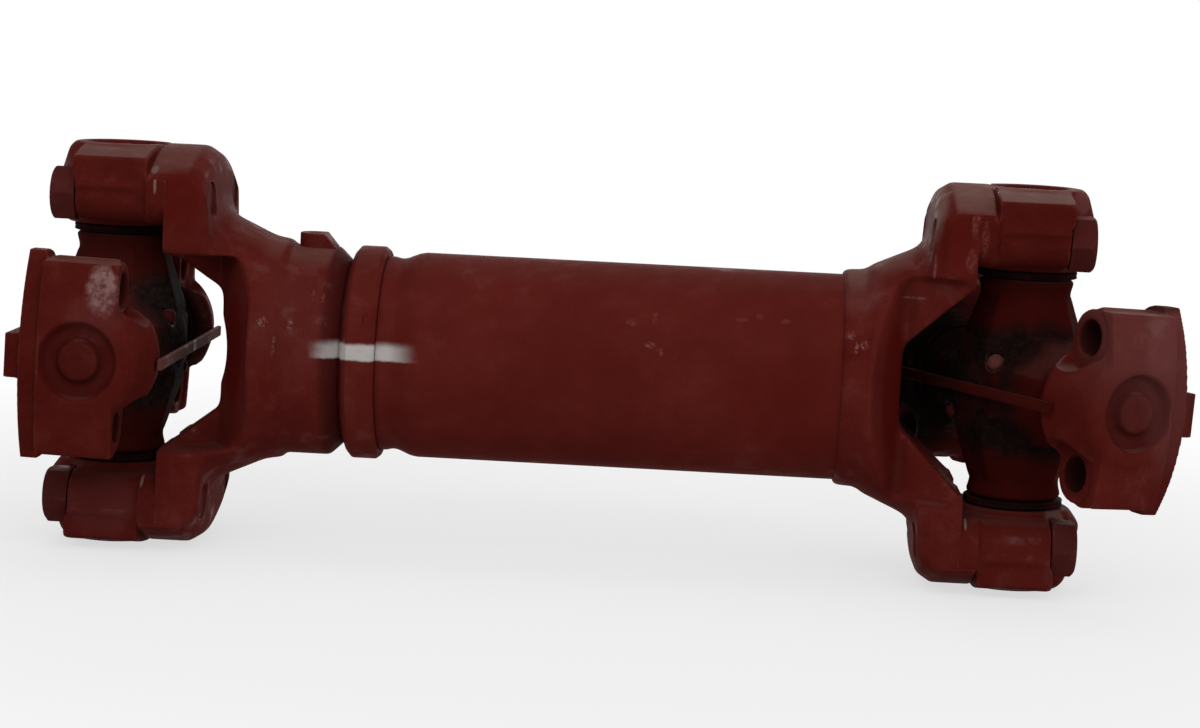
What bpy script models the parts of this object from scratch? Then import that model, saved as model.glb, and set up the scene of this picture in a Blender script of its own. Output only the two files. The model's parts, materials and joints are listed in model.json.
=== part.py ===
"""Universal joint shaft: a short tube with a wing-bearing joint at each end and a splined slip yoke.

X runs along the shaft from the slip yoke to the tube yoke, Y from front to rear, Z up. The shaft stands
on its lower bearing blocks, and the origin lies on that surface, under the middle of the assembly.
Lengths are metres. In a joint's own frame +X points away from the shaft, and the origin is where the
two trunnion axes meet. In a block's own frame +Z points out along the trunnion and +X at the mounting face.
"""

from math import cos, pi, radians, sin, sqrt

import bmesh
import bpy
from mathutils import Matrix, Vector

# Driving dimensions: the whole shaft
TRUNNION_SPAN = 0.3350
SWING_RADIUS = 0.0742
TUBE_RADIUS = 0.0381
TUBE_WALL = 0.0034
SEAT_GAP = 0.0003

# Pose: swing of each cross about its yoke's trunnions, tilt of the free blocks about theirs
SLIP_END_SWING = radians(-0.6)
SLIP_END_TILT = radians(-1.4)
TUBE_END_SWING = radians(28.6)
TUBE_END_TILT = radians(3.2)

# Wing block, with its heights measured down from the swing radius
MOUNT_OFFSET = 0.0211
WING_DEPTH = 0.0340
WING_HALF_WIDTH = 0.0345
WING_HEIGHT = 0.0282
WING_CORNER = 0.0100
FACE_RADIUS = 0.1350
FLANGE_DEPTH = 0.0066
FLANGE_HALF_WIDTH = 0.0372
FLANGE_DROP = 0.0004
PILOT_STEP = 0.0020
KEY_WIDTH = 0.0159
KEY_HEIGHT = 0.0055
KEY_DROP = 0.0047
KEY_LENGTH = 0.0225
BOLT_HALF_SPACING = 0.0242
BOLT_DROP = 0.0187
BOLT_HOLE_RADIUS = 0.00655
SPOT_RADIUS = 0.0120
SPOT_DEPTH = 0.0013
HOUSING_LENGTH = 0.0302
HOUSING_RADIUS = 0.0250
HOUSING_WAIST_RADIUS = 0.0232
HOUSING_TOP_RADIUS = 0.0185
HOUSING_MOUTH_RADIUS = 0.0205
RECESS_RADIUS = 0.0132
RECESS_DEPTH = 0.0040
RECESS_BOSS_RADIUS = 0.0065
RECESS_BOSS_DROP = 0.0009
RECESS_FLOOR = 0.0024
RECESS_DIMPLE_RADIUS = 0.0028

# Bearing and cross
JOURNAL_RADIUS = 0.0125
SEAL_HEIGHT = 0.0033
NEEDLE_DIAMETER = 0.0035
WASHER_THICKNESS = 0.0015
SEAL_DEPTH = 0.0040
SEAL_FLANGE_RADIUS = 0.0190
CROSS_NECK_RADIUS = 0.0158
CROSS_ROOT_RADIUS = 0.0195
CROSS_ROOT = 0.0200
CROSS_BODY_RADIUS = 0.0245
NIPPLE_TIP = Vector((-0.0220, 0.0142, 0.0118))
NIPPLE_LENGTH = 0.0085
NIPPLE_RADIUS = 0.0029
NIPPLE_SEAT_RADIUS = 0.0042
STRAP_WIDTH = 0.0040
STRAP_THICKNESS = 0.0018
STRAP_DROP = 0.0010
STRAP_HOLD = 0.0110

# Bolt
BOLT_RADIUS = 0.00635
BOLT_HEAD_FLATS = 0.01905
BOLT_HEAD_HEIGHT = 0.0092
BOLT_END_DROP = 0.0006

# Yokes
LUG_DROP = 0.0002
LUG_HALF_WIDTH = 0.0360
LUG_HEIGHT = 0.0360
LUG_DEPTH = 0.0155
LUG_CHAMFER = 0.0070
LIP_LENGTH = 0.0060
KEYWAY_CLEARANCE = 0.0003
ARM_LENGTH = 0.0203
WAIST_HALF_WIDTH = 0.0200
WAIST_RISE = 0.0025
THROAT_DEPTH = 0.0450
THROAT_HALF_HEIGHT = 0.0145
THROAT_FILLET = 0.0070

# Slip yoke and its joint, along the shaft
SLIP_SHOULDER_RADIUS = 0.0416
SLIP_LUG_EDGE = 0.0018
HUB_RADIUS = 0.0389
HUB_RAMP = 0.0076
HUB_LENGTH = 0.0215
HUB_TAPER_LENGTH = 0.0055
HUB_NECK_RADIUS = 0.0336
NOSE_RADIUS = 0.0312
NOSE_LENGTH = 0.0070
COLLAR_RADIUS = 0.0396
COLLAR_LENGTH = 0.0123
COLLAR_CHAMFER = 0.0032
COLLAR_LIP = 0.0012
SPLINE_TEETH = 16
SPLINE_MAJOR_RADIUS = 0.0280
SPLINE_MINOR_RADIUS = 0.0252
SPLINE_WALL = 0.0040
STUB_NECK_DROP = 0.0029
STUB_SHOULDER_DROP = 0.0019
STUB_SHOULDER_LENGTH = 0.0045
STUB_FLARE = 0.0140
STUB_SPIGOT = 0.0150
PLUG_RADIUS = 0.0185
PLUG_THICKNESS = 0.0030
PLUG_CROWN = 0.0040
BOSS_RADIUS = 0.0062
BOSS_HEIGHT = 0.0048
BOSS_SET_BACK = 0.0140
GREASE_PLUG_RADIUS = 0.0036
GREASE_PLUG_DEPTH = 0.0060
GREASE_PLUG_RISE = 0.0010

# Tube yoke
TUBE_SHOULDER_RADIUS = 0.0423
TUBE_LUG_EDGE = 0.0045
TUBE_HUB_LENGTH = 0.0106
TUBE_HUB_RISE = 0.0019
TUBE_YOKE_SPIGOT = 0.0160

# Facets
LARGE_FACETS = 40
MEDIUM_FACETS = 20
SMALL_FACETS = 12
BEARING_FACETS = 16

# Sizes that follow from the driving ones
WING_INNER = SWING_RADIUS - WING_HEIGHT
PILOT_RADIUS = SWING_RADIUS - PILOT_STEP
KEY_OUTER = SWING_RADIUS - KEY_DROP
KEY_INNER = KEY_OUTER - KEY_LENGTH
BOLT_REACH = SWING_RADIUS - BOLT_DROP
HOUSING_INNER = SWING_RADIUS - HOUSING_LENGTH
JOURNAL_SHOULDER = HOUSING_INNER - SEAL_HEIGHT
STRAP_END = WING_INNER + STRAP_HOLD
LUG_RADIUS = SWING_RADIUS - LUG_DROP
LUG_INNER = SWING_RADIUS - LUG_HEIGHT - LUG_DROP
LUG_BACK = MOUNT_OFFSET + LUG_DEPTH
LUG_FOOT_RADIUS = LUG_RADIUS - LUG_CHAMFER * 1.15
ARM_END = LUG_BACK + ARM_LENGTH
WAIST_HEIGHT = LUG_INNER + WAIST_RISE
HUB_STEP = ARM_END + HUB_RAMP
HUB_END = HUB_STEP + HUB_LENGTH
HUB_TAPER = HUB_END - HUB_TAPER_LENGTH
BOSS_PLACE = HUB_END - BOSS_SET_BACK
TUBE_YOKE_WELD = ARM_END + TUBE_HUB_LENGTH
STUB_NECK_RADIUS = TUBE_RADIUS - STUB_NECK_DROP
STUB_SHOULDER_RADIUS = TUBE_RADIUS - STUB_SHOULDER_DROP
PLUG_SEAT = THROAT_DEPTH + PLUG_THICKNESS + PLUG_CROWN
SPLINE_START = PLUG_SEAT + SPLINE_WALL
BORE_RADIUS = JOURNAL_RADIUS + NEEDLE_DIAMETER
BORE_FLOOR = SWING_RADIUS - RECESS_DEPTH - RECESS_FLOOR
WASHER_FACE = BORE_FLOOR - SEAT_GAP - WASHER_THICKNESS
JOURNAL_END = WASHER_FACE - SEAT_GAP
NIPPLE_BASE = NIPPLE_TIP.length - NIPPLE_LENGTH
BOLT_SEAT = WING_DEPTH - SPOT_DEPTH - MOUNT_OFFSET
COLLAR_START = HUB_END + SEAT_GAP
COLLAR_END = COLLAR_START + COLLAR_LENGTH
STUB_SHOULDER = COLLAR_END + 0.0008
TUBE_START = STUB_SHOULDER + 0.0020 + STUB_FLARE
TUBE_INNER_RADIUS = TUBE_RADIUS - TUBE_WALL


def clear_scene():
    """Remove whatever the scene holds."""
    for obj in list(bpy.data.objects):
        bpy.data.objects.remove(obj, do_unlink=True)


def material(name, color, roughness, metallic):
    """A plain Principled finish."""
    made = bpy.data.materials.new(name)
    made.use_nodes = True
    shader = made.node_tree.nodes["Principled BSDF"]
    shader.inputs["Base Color"].default_value = (*color, 1.0)
    shader.inputs["Roughness"].default_value = roughness
    shader.inputs["Metallic"].default_value = metallic
    return made


def arc(centre, radius, start, end, steps):
    """Points of an arc in a plane, both ends included, with angles in degrees."""
    angles = [radians(start + (end - start) * i / steps) for i in range(steps + 1)]
    return [(centre[0] + radius * cos(a), centre[1] + radius * sin(a)) for a in angles]


def rounded(corners, radii, steps=4):
    """A closed outline whose corners are rounded by the given radii, 0 for a sharp one."""
    points = []
    count = len(corners)
    for i, radius in enumerate(radii):
        here = Vector(corners[i])
        if not radius:
            points.append(tuple(here))
            continue
        to_last = (Vector(corners[i - 1]) - here).normalized()
        to_next = (Vector(corners[(i + 1) % count]) - here).normalized()
        half = to_last.angle(to_next) / 2
        middle = here + (to_last + to_next).normalized() * radius / sin(half)
        first = here + to_last * radius / sin(half) * cos(half) - middle
        last = here + to_next * radius / sin(half) * cos(half) - middle
        turn = first.angle_signed(last)
        for k in range(steps + 1):
            point = first.copy()
            point.rotate(Matrix.Rotation(-turn * k / steps, 2))
            points.append(tuple(middle + point))
    return points


def new_object(name, mesh_data):
    """An object in the scene, from a bmesh whose faces are turned outwards."""
    bmesh.ops.recalc_face_normals(mesh_data, faces=mesh_data.faces)
    mesh = bpy.data.meshes.new(name)
    mesh_data.to_mesh(mesh)
    mesh_data.free()
    obj = bpy.data.objects.new(name, mesh)
    bpy.context.scene.collection.objects.link(obj)
    return obj


def turned(name, outline, facets, axis="X", ring=False):
    """A lathe shape: (along, radius) points spun about an axis. A ring's outline closes on itself."""
    spun = bmesh.new()
    direction = Vector((1, 0, 0)) if axis == "X" else Vector((0, 0, 1))
    side = Vector((0, 0, 1)) if axis == "X" else Vector((1, 0, 0))
    points = [spun.verts.new(direction * along + side * radius) for along, radius in outline]
    pairs = list(zip(points, points[1:]))
    if ring:
        pairs.append((points[-1], points[0]))
    edges = [spun.edges.new(pair) for pair in pairs]
    bmesh.ops.spin(spun, geom=points + edges, cent=(0, 0, 0), axis=direction, angle=2 * pi, steps=facets)
    bmesh.ops.remove_doubles(spun, verts=spun.verts, dist=5e-6)
    return new_object(name, spun)


def prism(name, outline, axis, low, high):
    """A flat outline pushed along an axis. Its two coordinates are the other axes, in X, Y, Z order."""
    places = {"X": lambda u, v: (low, u, v), "Y": lambda u, v: (u, low, v), "Z": lambda u, v: (u, v, low)}
    shape = bmesh.new()
    face = shape.faces.new([shape.verts.new(places[axis](u, v)) for u, v in outline])
    pushed = bmesh.ops.extrude_face_region(shape, geom=[face])
    step = {"X": Vector((1, 0, 0)), "Y": Vector((0, 1, 0)), "Z": Vector((0, 0, 1))}[axis] * (high - low)
    moved = [item for item in pushed["geom"] if isinstance(item, bmesh.types.BMVert)]
    bmesh.ops.translate(shape, verts=moved, vec=step)
    return new_object(name, shape)


def box(name, low, high):
    """A box between two corners."""
    outline = [(low[0], low[1]), (high[0], low[1]), (high[0], high[1]), (low[0], high[1])]
    return prism(name, outline, "Z", low[2], high[2])


def rod(name, radius, low, high, facets, axis="X"):
    """A plain cylinder on an axis."""
    return turned(name, [(low, 0), (low, radius), (high, radius), (high, 0)], facets, axis)


def moved(obj, offset):
    """The object with its points moved."""
    obj.data.transform(Matrix.Translation(offset))
    return obj


def combine(target, tools, operation):
    """Join or cut a solid with others, and remove them."""
    for tool in tools:
        change = target.modifiers.new(operation.lower(), "BOOLEAN")
        change.operation = operation
        change.solver = "EXACT"
        change.object = tool
    graph = bpy.context.evaluated_depsgraph_get()
    mesh = bpy.data.meshes.new_from_object(target.evaluated_get(graph))
    target.modifiers.clear()
    target.data = mesh
    for tool in tools:
        bpy.data.objects.remove(tool, do_unlink=True)
    return target


def join(target, *tools):
    """Union of solids."""
    return combine(target, tools, "UNION")


def cut(target, *tools):
    """A solid less its cutters."""
    return combine(target, tools, "DIFFERENCE")


def common(target, *tools):
    """What solids share."""
    return combine(target, tools, "INTERSECT")


def shape_of(obj):
    """Take an object's mesh, shaded smooth over its rounds, and remove the object."""
    mesh = obj.data
    mesh.shade_smooth()
    mesh.set_sharp_from_angle(angle=radians(32))
    bpy.data.objects.remove(obj, do_unlink=True)
    return mesh


def wing_section(half_width, inner, outer_radius, outer_apex, corner, steps):
    """Section of a wing across the shaft, as (tangential, radial) points with a round outer face."""
    centre = outer_apex - outer_radius
    edge = Vector((half_width, centre + sqrt(outer_radius**2 - half_width**2)))
    sweep = 90 - Vector((half_width, edge.y - centre)).angle_signed(Vector((1, 0))) * 180 / pi
    face = arc((0, centre), outer_radius, 90 - abs(sweep), 90 + abs(sweep), steps)
    left = arc((-half_width + corner, inner + corner), corner, 180, 270, 4)
    right = arc((half_width - corner, inner + corner), corner, 270, 360, 4)
    return face + left + right


def wing_block_shape():
    """A bearing block: two bolted wings, a round housing, a pilot flange with a key, and a bore."""
    back = MOUNT_OFFSET - WING_DEPTH
    flange_start = MOUNT_OFFSET - FLANGE_DEPTH
    body = wing_section(WING_HALF_WIDTH, WING_INNER, FACE_RADIUS, SWING_RADIUS, WING_CORNER, 7)
    foot = WING_INNER - FLANGE_DROP
    flange = wing_section(FLANGE_HALF_WIDTH, foot, SWING_RADIUS, SWING_RADIUS, WING_CORNER, 9)
    block = prism("block", body, "X", back, flange_start + SEAT_GAP)
    housing = [
        (HOUSING_INNER, 0),
        (HOUSING_INNER, HOUSING_MOUTH_RADIUS),
        (WING_INNER, HOUSING_RADIUS - 0.0028),
        (WING_INNER + 0.0040, HOUSING_RADIUS),
        (SWING_RADIUS - 0.0110, HOUSING_WAIST_RADIUS),
        (SWING_RADIUS - 0.0028, HOUSING_TOP_RADIUS + 0.0023),
        (SWING_RADIUS - 0.0004, HOUSING_TOP_RADIUS),
        (SWING_RADIUS - 0.0004, 0),
    ]
    join(
        block,
        prism("flange", flange, "X", flange_start, MOUNT_OFFSET + 0.001),
        turned("housing", housing, MEDIUM_FACETS, "Z"),
    )
    reach = SWING_RADIUS
    outside = [
        (flange_start, PILOT_RADIUS),
        (reach, PILOT_RADIUS),
        (reach, 2 * reach),
        (flange_start, 2 * reach),
    ]
    cut(
        block,
        box("mounting_plane", (MOUNT_OFFSET, -reach, 0), (2 * reach, reach, 2 * reach)),
        turned("pilot", outside, LARGE_FACETS, ring=True),
    )
    key_low = (MOUNT_OFFSET - 0.001, -KEY_WIDTH / 2, KEY_INNER)
    join(block, box("key", key_low, (MOUNT_OFFSET + KEY_HEIGHT, KEY_WIDTH / 2, KEY_OUTER)))
    floor = SWING_RADIUS - RECESS_DEPTH
    boss = SWING_RADIUS - RECESS_BOSS_DROP
    recess = [
        (2 * reach, 0),
        (2 * reach, RECESS_RADIUS),
        (floor, RECESS_RADIUS - 0.0003),
        (floor, RECESS_BOSS_RADIUS + 0.0006),
        (boss, RECESS_BOSS_RADIUS - 0.0002),
        (boss, RECESS_DIMPLE_RADIUS),
        (boss - 0.0010, 0),
    ]
    cutters = [
        rod("bore", BORE_RADIUS, 0, BORE_FLOOR, BEARING_FACETS, "Z"),
        turned("recess", recess, BEARING_FACETS, "Z"),
    ]
    for side in (-1, 1):
        place = Vector((0, side * BOLT_HALF_SPACING, BOLT_REACH))
        cutters.append(moved(rod("bolt_hole", BOLT_HOLE_RADIUS, -reach, reach, SMALL_FACETS), place))
        cutters.append(moved(rod("spot_face", SPOT_RADIUS, -reach, -BOLT_SEAT, BEARING_FACETS), place))
    return shape_of(cut(block, *cutters))


def cross_shape(front):
    """The cross: two pairs of journals on necked arms, and a round body with seats for its nipples."""
    half = [
        (0, CROSS_ROOT_RADIUS),
        (CROSS_ROOT, CROSS_ROOT_RADIUS),
        (JOURNAL_SHOULDER - 0.0060, CROSS_NECK_RADIUS + 0.0006),
        (JOURNAL_SHOULDER - 0.0012, CROSS_NECK_RADIUS + 0.0012),
        (JOURNAL_SHOULDER, CROSS_NECK_RADIUS),
        (JOURNAL_SHOULDER, JOURNAL_RADIUS),
        (JOURNAL_END - 0.0008, JOURNAL_RADIUS),
        (JOURNAL_END, JOURNAL_RADIUS - 0.0008),
        (JOURNAL_END, 0),
    ]
    arm = [(-along, radius) for along, radius in reversed(half[1:])] + half[1:]
    cross = turned("upright", arm, BEARING_FACETS, "Z")
    level = turned("level", arm, BEARING_FACETS, "Z")
    level.data.transform(Matrix.Rotation(pi / 2, 4, "X"))
    ball = bmesh.new()
    bmesh.ops.create_icosphere(ball, subdivisions=2, radius=CROSS_BODY_RADIUS)
    join(cross, level, new_object("ball", ball))
    cutters = []
    for side in (-1, 1):
        low, high = NIPPLE_BASE - SEAT_GAP, 2 * CROSS_BODY_RADIUS
        seat = rod("nipple_seat", NIPPLE_SEAT_RADIUS, low, high, SMALL_FACETS, "Z")
        seat.data.transform(nipple_turn(front, side).to_matrix().to_4x4())
        cutters.append(seat)
    return shape_of(cut(cross, *cutters))


def nipple_turn(front, side):
    """Rotation from +Z to a nipple's way out of the cross: side is 1 for the front one, else -1."""
    way = Vector((NIPPLE_TIP.x, front * side * NIPPLE_TIP.y, side * NIPPLE_TIP.z))
    return Vector((0, 0, 1)).rotation_difference(way)


def seal_shape():
    """A bearing seal: a plug in the bore's mouth, with a dust flange outside it."""
    inner = JOURNAL_RADIUS + SEAT_GAP
    fitted = BORE_RADIUS - SEAT_GAP
    outline = [
        (JOURNAL_SHOULDER + SEAT_GAP, inner),
        (HOUSING_INNER + SEAL_DEPTH, inner),
        (HOUSING_INNER + SEAL_DEPTH, fitted),
        (HOUSING_INNER - SEAT_GAP, fitted),
        (HOUSING_INNER - SEAT_GAP, SEAL_FLANGE_RADIUS),
        (JOURNAL_SHOULDER + SEAT_GAP, SEAL_FLANGE_RADIUS - 0.0008),
    ]
    return shape_of(turned("seal", outline, BEARING_FACETS, "Z", ring=True))


def needles_shape():
    """The needle rollers of one bearing, as the sleeve that they fill."""
    low = HOUSING_INNER + SEAL_DEPTH + SEAT_GAP
    high = WASHER_FACE - SEAT_GAP
    inner = JOURNAL_RADIUS + SEAT_GAP
    outer = BORE_RADIUS - SEAT_GAP
    outline = [(low, inner), (high, inner), (high, outer), (low, outer)]
    return shape_of(turned("needles", outline, BEARING_FACETS, "Z", ring=True))


def washer_shape():
    """The thrust washer on a bearing's floor."""
    high = WASHER_FACE + WASHER_THICKNESS
    return shape_of(rod("washer", BORE_RADIUS - SEAT_GAP, WASHER_FACE, high, BEARING_FACETS, "Z"))


def bolt_shape():
    """A hex bolt in a block's frame: head on the spot face, end just inside the lug's back."""
    seat = -BOLT_SEAT - SEAT_GAP
    top = seat - BOLT_HEAD_HEIGHT
    corner = BOLT_HEAD_FLATS / 2 / cos(pi / 6)
    outline = [(top, 0), (top, corner - 0.0014), (top + 0.0012, corner), (seat, corner), (seat, 0)]
    head = turned("head", outline, 6)
    head.data.transform(Matrix.Rotation(pi / 6, 4, "X"))
    join(head, rod("shank", BOLT_RADIUS - 0.0001, seat - 0.001, LUG_BACK - BOLT_END_DROP, SMALL_FACETS))
    return shape_of(head)


def strap_shape():
    """The thin strip that ties the free blocks' housings together, on the shaft's side of the cross."""
    seat = -HOUSING_RADIUS - SEAT_GAP
    low = -STRAP_DROP - STRAP_WIDTH / 2
    start = (seat - STRAP_THICKNESS, -STRAP_END, low)
    return shape_of(box("strap", start, (seat, STRAP_END, low + STRAP_WIDTH)))


def nipple_shape():
    """A grease nipple standing on the cross's body along +Z."""
    base = NIPPLE_BASE
    outline = [
        (base, 0),
        (base, NIPPLE_RADIUS),
        (base + 0.0034, NIPPLE_RADIUS),
        (base + 0.0046, NIPPLE_RADIUS * 0.58),
        (base + 0.0060, NIPPLE_RADIUS * 0.58),
        (base + 0.0070, NIPPLE_RADIUS * 0.78),
        (base + NIPPLE_LENGTH - 0.0005, NIPPLE_RADIUS * 0.55),
        (base + NIPPLE_LENGTH, 0),
    ]
    return shape_of(turned("nipple", outline, 12, "Z"))


def fork_outline(shoulder):
    """Outer edge of a yoke from its pilot lip to its hub's shoulder, as (along, radius) points."""
    back, foot = LUG_BACK, LUG_FOOT_RADIUS
    flare = ((0.030, 0.602), (0.089, 0.414), (0.207, 0.301))
    sweep = flare + ((0.384, 0.230), (0.557, 0.167), (0.852, 0.054), (1, 0))
    arm = [(back + ARM_LENGTH * share, shoulder + (foot - shoulder) * rise) for share, rise in sweep]
    return [
        (MOUNT_OFFSET + SEAT_GAP, 0),
        (MOUNT_OFFSET + SEAT_GAP, PILOT_RADIUS + SEAT_GAP),
        (MOUNT_OFFSET - LIP_LENGTH, PILOT_RADIUS + SEAT_GAP),
        (MOUNT_OFFSET - LIP_LENGTH, LUG_RADIUS),
        (back - LUG_CHAMFER, LUG_RADIUS),
        (back - LUG_CHAMFER * 0.30, LUG_RADIUS - LUG_CHAMFER * 0.45),
        (back, foot),
    ] + arm


def forked(name, outline, edge):
    """Cut a turned bell into a fork: side flats, a swing clearance, the throat and the bolt holes."""
    fork = turned(name, outline, LARGE_FACETS)
    wide = 2 * SWING_RADIUS
    lug, waist, depth = LUG_HALF_WIDTH, WAIST_HALF_WIDTH, THROAT_DEPTH
    cutters = []
    for side in (-1, 1):
        flat = [
            (0, lug),
            (LUG_BACK - edge, lug),
            (LUG_BACK, lug - edge),
            (LUG_BACK + ARM_LENGTH * 0.15, lug - edge),
            (LUG_BACK + ARM_LENGTH * 1.23, lug * 4 / 3),
            (LUG_BACK + ARM_LENGTH * 1.23, wide),
            (0, wide),
        ]
        swing = [
            (0, lug + 0.001),
            (MOUNT_OFFSET, lug - 0.001),
            (depth - 0.0130, waist + 0.0085),
            (depth - 0.0030, waist + 0.0035),
            (depth - 0.0005, waist),
            (depth + 0.0090, waist + 0.0165),
            (depth + 0.0130, waist + 0.0235),
            (depth + 0.0130, wide),
            (0, wide),
        ]
        mirrored = slice(None, None, side)
        cutters.append(prism("side_flat", [(u, side * v) for u, v in flat][mirrored], "Z", -wide, wide))
        swing_outline = [(u, side * v) for u, v in swing][mirrored]
        cutters.append(prism("swing_clearance", swing_outline, "Z", -WAIST_HEIGHT, WAIST_HEIGHT))
    mouth = LUG_INNER
    corners = [
        (0, -mouth),
        (MOUNT_OFFSET, -mouth),
        (depth, -THROAT_HALF_HEIGHT),
        (depth, THROAT_HALF_HEIGHT),
        (MOUNT_OFFSET, mouth),
        (0, mouth),
    ]
    throat = rounded(corners, [0, 0, THROAT_FILLET, THROAT_FILLET, 0, 0])
    cutters.append(prism("throat", throat, "Y", -wide, wide))
    for level in (-1, 1):
        low, high = sorted((level * LUG_INNER * 0.9, level * (KEY_OUTER + SEAT_GAP + KEYWAY_CLEARANCE)))
        half = KEY_WIDTH / 2 + KEYWAY_CLEARANCE
        keyway_depth = MOUNT_OFFSET + KEY_HEIGHT + SEAT_GAP + KEYWAY_CLEARANCE
        cutters.append(box("keyway", (0, -half, low), (keyway_depth, half, high)))
        for side in (-1, 1):
            place = Vector((0, side * BOLT_HALF_SPACING, level * BOLT_REACH))
            cutters.append(moved(rod("bolt_hole", BOLT_HOLE_RADIUS, 0, wide, SMALL_FACETS), place))
    return cut(fork, *cutters)


def spline_outline(major, minor):
    """Section of a straight-sided spline, as points around the shaft."""
    pitch = 2 * pi / SPLINE_TEETH
    points = []
    for tooth in range(SPLINE_TEETH):
        start = tooth * pitch
        for share, radius in ((0.04, minor), (0.36, minor), (0.46, major), (0.94, major)):
            points.append((radius * cos(start + share * pitch), radius * sin(start + share * pitch)))
    return points


def slip_yoke_shape():
    """The sliding fork: female spline, seat for its throat plug, stepped hub with a boss, and a nose."""
    outline = fork_outline(SLIP_SHOULDER_RADIUS) + [
        (HUB_STEP - HUB_RAMP * 0.26, HUB_RADIUS + (SLIP_SHOULDER_RADIUS - HUB_RADIUS) * 0.70),
        (HUB_STEP, HUB_RADIUS),
        (HUB_TAPER, HUB_RADIUS),
        (HUB_END, HUB_NECK_RADIUS),
        (HUB_END, NOSE_RADIUS),
        (HUB_END + NOSE_LENGTH, NOSE_RADIUS),
        (HUB_END + NOSE_LENGTH, 0),
    ]
    yoke = forked("slip_yoke", outline, SLIP_LUG_EDGE)
    boss_top = HUB_RADIUS + BOSS_HEIGHT
    boss = [
        (HUB_RADIUS - 0.004, 0),
        (HUB_RADIUS - 0.004, BOSS_RADIUS + 0.0010),
        (boss_top - 0.0010, BOSS_RADIUS),
        (boss_top, BOSS_RADIUS - 0.0010),
        (boss_top, 0),
    ]
    place = Vector((BOSS_PLACE, 0, 0))
    join(yoke, moved(turned("boss", boss, SMALL_FACETS, "Z"), place))
    spline = spline_outline(SPLINE_MAJOR_RADIUS + SEAT_GAP, SPLINE_MINOR_RADIUS + SEAT_GAP)
    hole_radius = GREASE_PLUG_RADIUS + SEAT_GAP
    hole_low = boss_top - GREASE_PLUG_DEPTH
    plug_hole = rod("plug_hole", hole_radius, hole_low, boss_top + BOSS_HEIGHT, SMALL_FACETS, "Z")
    cut(
        yoke,
        prism("spline", spline, "X", SPLINE_START - 0.0010, HUB_END + 2 * NOSE_LENGTH),
        rod("plug_seat", PLUG_RADIUS, 0, PLUG_SEAT, MEDIUM_FACETS),
        rod("drain", PLUG_RADIUS * 0.6, 0, SPLINE_START, MEDIUM_FACETS),
        moved(plug_hole, place),
    )
    return shape_of(yoke)


def tube_yoke_shape():
    """The welded fork: a hub that stands a little proud of the tube, with a spigot inside it."""
    inner = TUBE_INNER_RADIUS - SEAT_GAP
    face = TUBE_YOKE_WELD
    outline = fork_outline(TUBE_SHOULDER_RADIUS) + [
        (face - TUBE_HUB_LENGTH * 0.85, TUBE_RADIUS + TUBE_HUB_RISE * 1.20),
        (face - 0.0015, TUBE_RADIUS + TUBE_HUB_RISE),
        (face, TUBE_RADIUS + TUBE_HUB_RISE * 0.4),
        (face, inner),
        (face + TUBE_YOKE_SPIGOT, inner),
        (face + TUBE_YOKE_SPIGOT, inner - 0.008),
        (face + 0.001, inner - 0.012),
        (face + 0.001, 0),
    ]
    return shape_of(forked("tube_yoke", outline, TUBE_LUG_EDGE))


def stub_shape():
    """The male spline, its flared shoulder and its spigot in the tube."""
    start = STUB_SHOULDER
    inner = TUBE_INNER_RADIUS - SEAT_GAP
    outline = [
        (start, 0),
        (start, STUB_SHOULDER_RADIUS - 0.0010),
        (start + 0.0010, STUB_SHOULDER_RADIUS),
        (start + STUB_SHOULDER_LENGTH, STUB_NECK_RADIUS),
        (TUBE_START - 0.0045, TUBE_RADIUS - 0.0004),
        (TUBE_START - 0.0020, TUBE_RADIUS),
        (TUBE_START - SEAT_GAP, TUBE_RADIUS),
        (TUBE_START - SEAT_GAP, inner),
        (TUBE_START + STUB_SPIGOT, inner),
        (TUBE_START + STUB_SPIGOT, 0),
    ]
    stub = turned("splined_stub", outline, LARGE_FACETS)
    section = spline_outline(SPLINE_MAJOR_RADIUS, SPLINE_MINOR_RADIUS)
    return shape_of(join(stub, prism("spline", section, "X", SPLINE_START, start + 0.002)))


def collar_shape():
    """The dust collar: chamfered outside, bored for the yoke's nose, with a pocket for its seal."""
    start, end = COLLAR_START, COLLAR_END
    bored = NOSE_RADIUS + SEAT_GAP
    pocket = HUB_END + NOSE_LENGTH + SEAT_GAP
    lip = SPLINE_MAJOR_RADIUS + 2 * SEAT_GAP
    outline = [
        (start, bored),
        (start, HUB_NECK_RADIUS),
        (start + COLLAR_CHAMFER * 0.45, COLLAR_RADIUS - (COLLAR_RADIUS - HUB_NECK_RADIUS) * 0.35),
        (start + COLLAR_CHAMFER, COLLAR_RADIUS),
        (end - 0.0015, COLLAR_RADIUS),
        (end, COLLAR_RADIUS - 0.0012),
        (end, lip),
        (end - COLLAR_LIP, lip),
        (end - COLLAR_LIP, bored),
        (pocket, bored),
    ]
    return shape_of(turned("dust_collar", outline, LARGE_FACETS, ring=True))


def dust_seal_shape():
    """The seal in the collar's pocket."""
    low = HUB_END + NOSE_LENGTH + SEAT_GAP
    high = COLLAR_END - COLLAR_LIP - SEAT_GAP
    inner = SPLINE_MAJOR_RADIUS + SEAT_GAP
    outline = [(low, inner), (high, inner), (high, NOSE_RADIUS), (low, NOSE_RADIUS)]
    return shape_of(turned("dust_seal", outline, LARGE_FACETS, ring=True))


def throat_plug_shape():
    """The domed plug in the slip yoke's throat."""
    radius = PLUG_RADIUS - SEAT_GAP
    back = PLUG_SEAT - SEAT_GAP
    front = back - PLUG_THICKNESS
    shares = (0, 0.3, 0.55, 0.78)
    dome = [(front - PLUG_CROWN * (1 - (share * 0.9) ** 2), radius * share) for share in shares]
    outline = dome + [(front, radius), (back, radius), (back, 0)]
    return shape_of(turned("throat_plug", outline, MEDIUM_FACETS))


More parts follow.
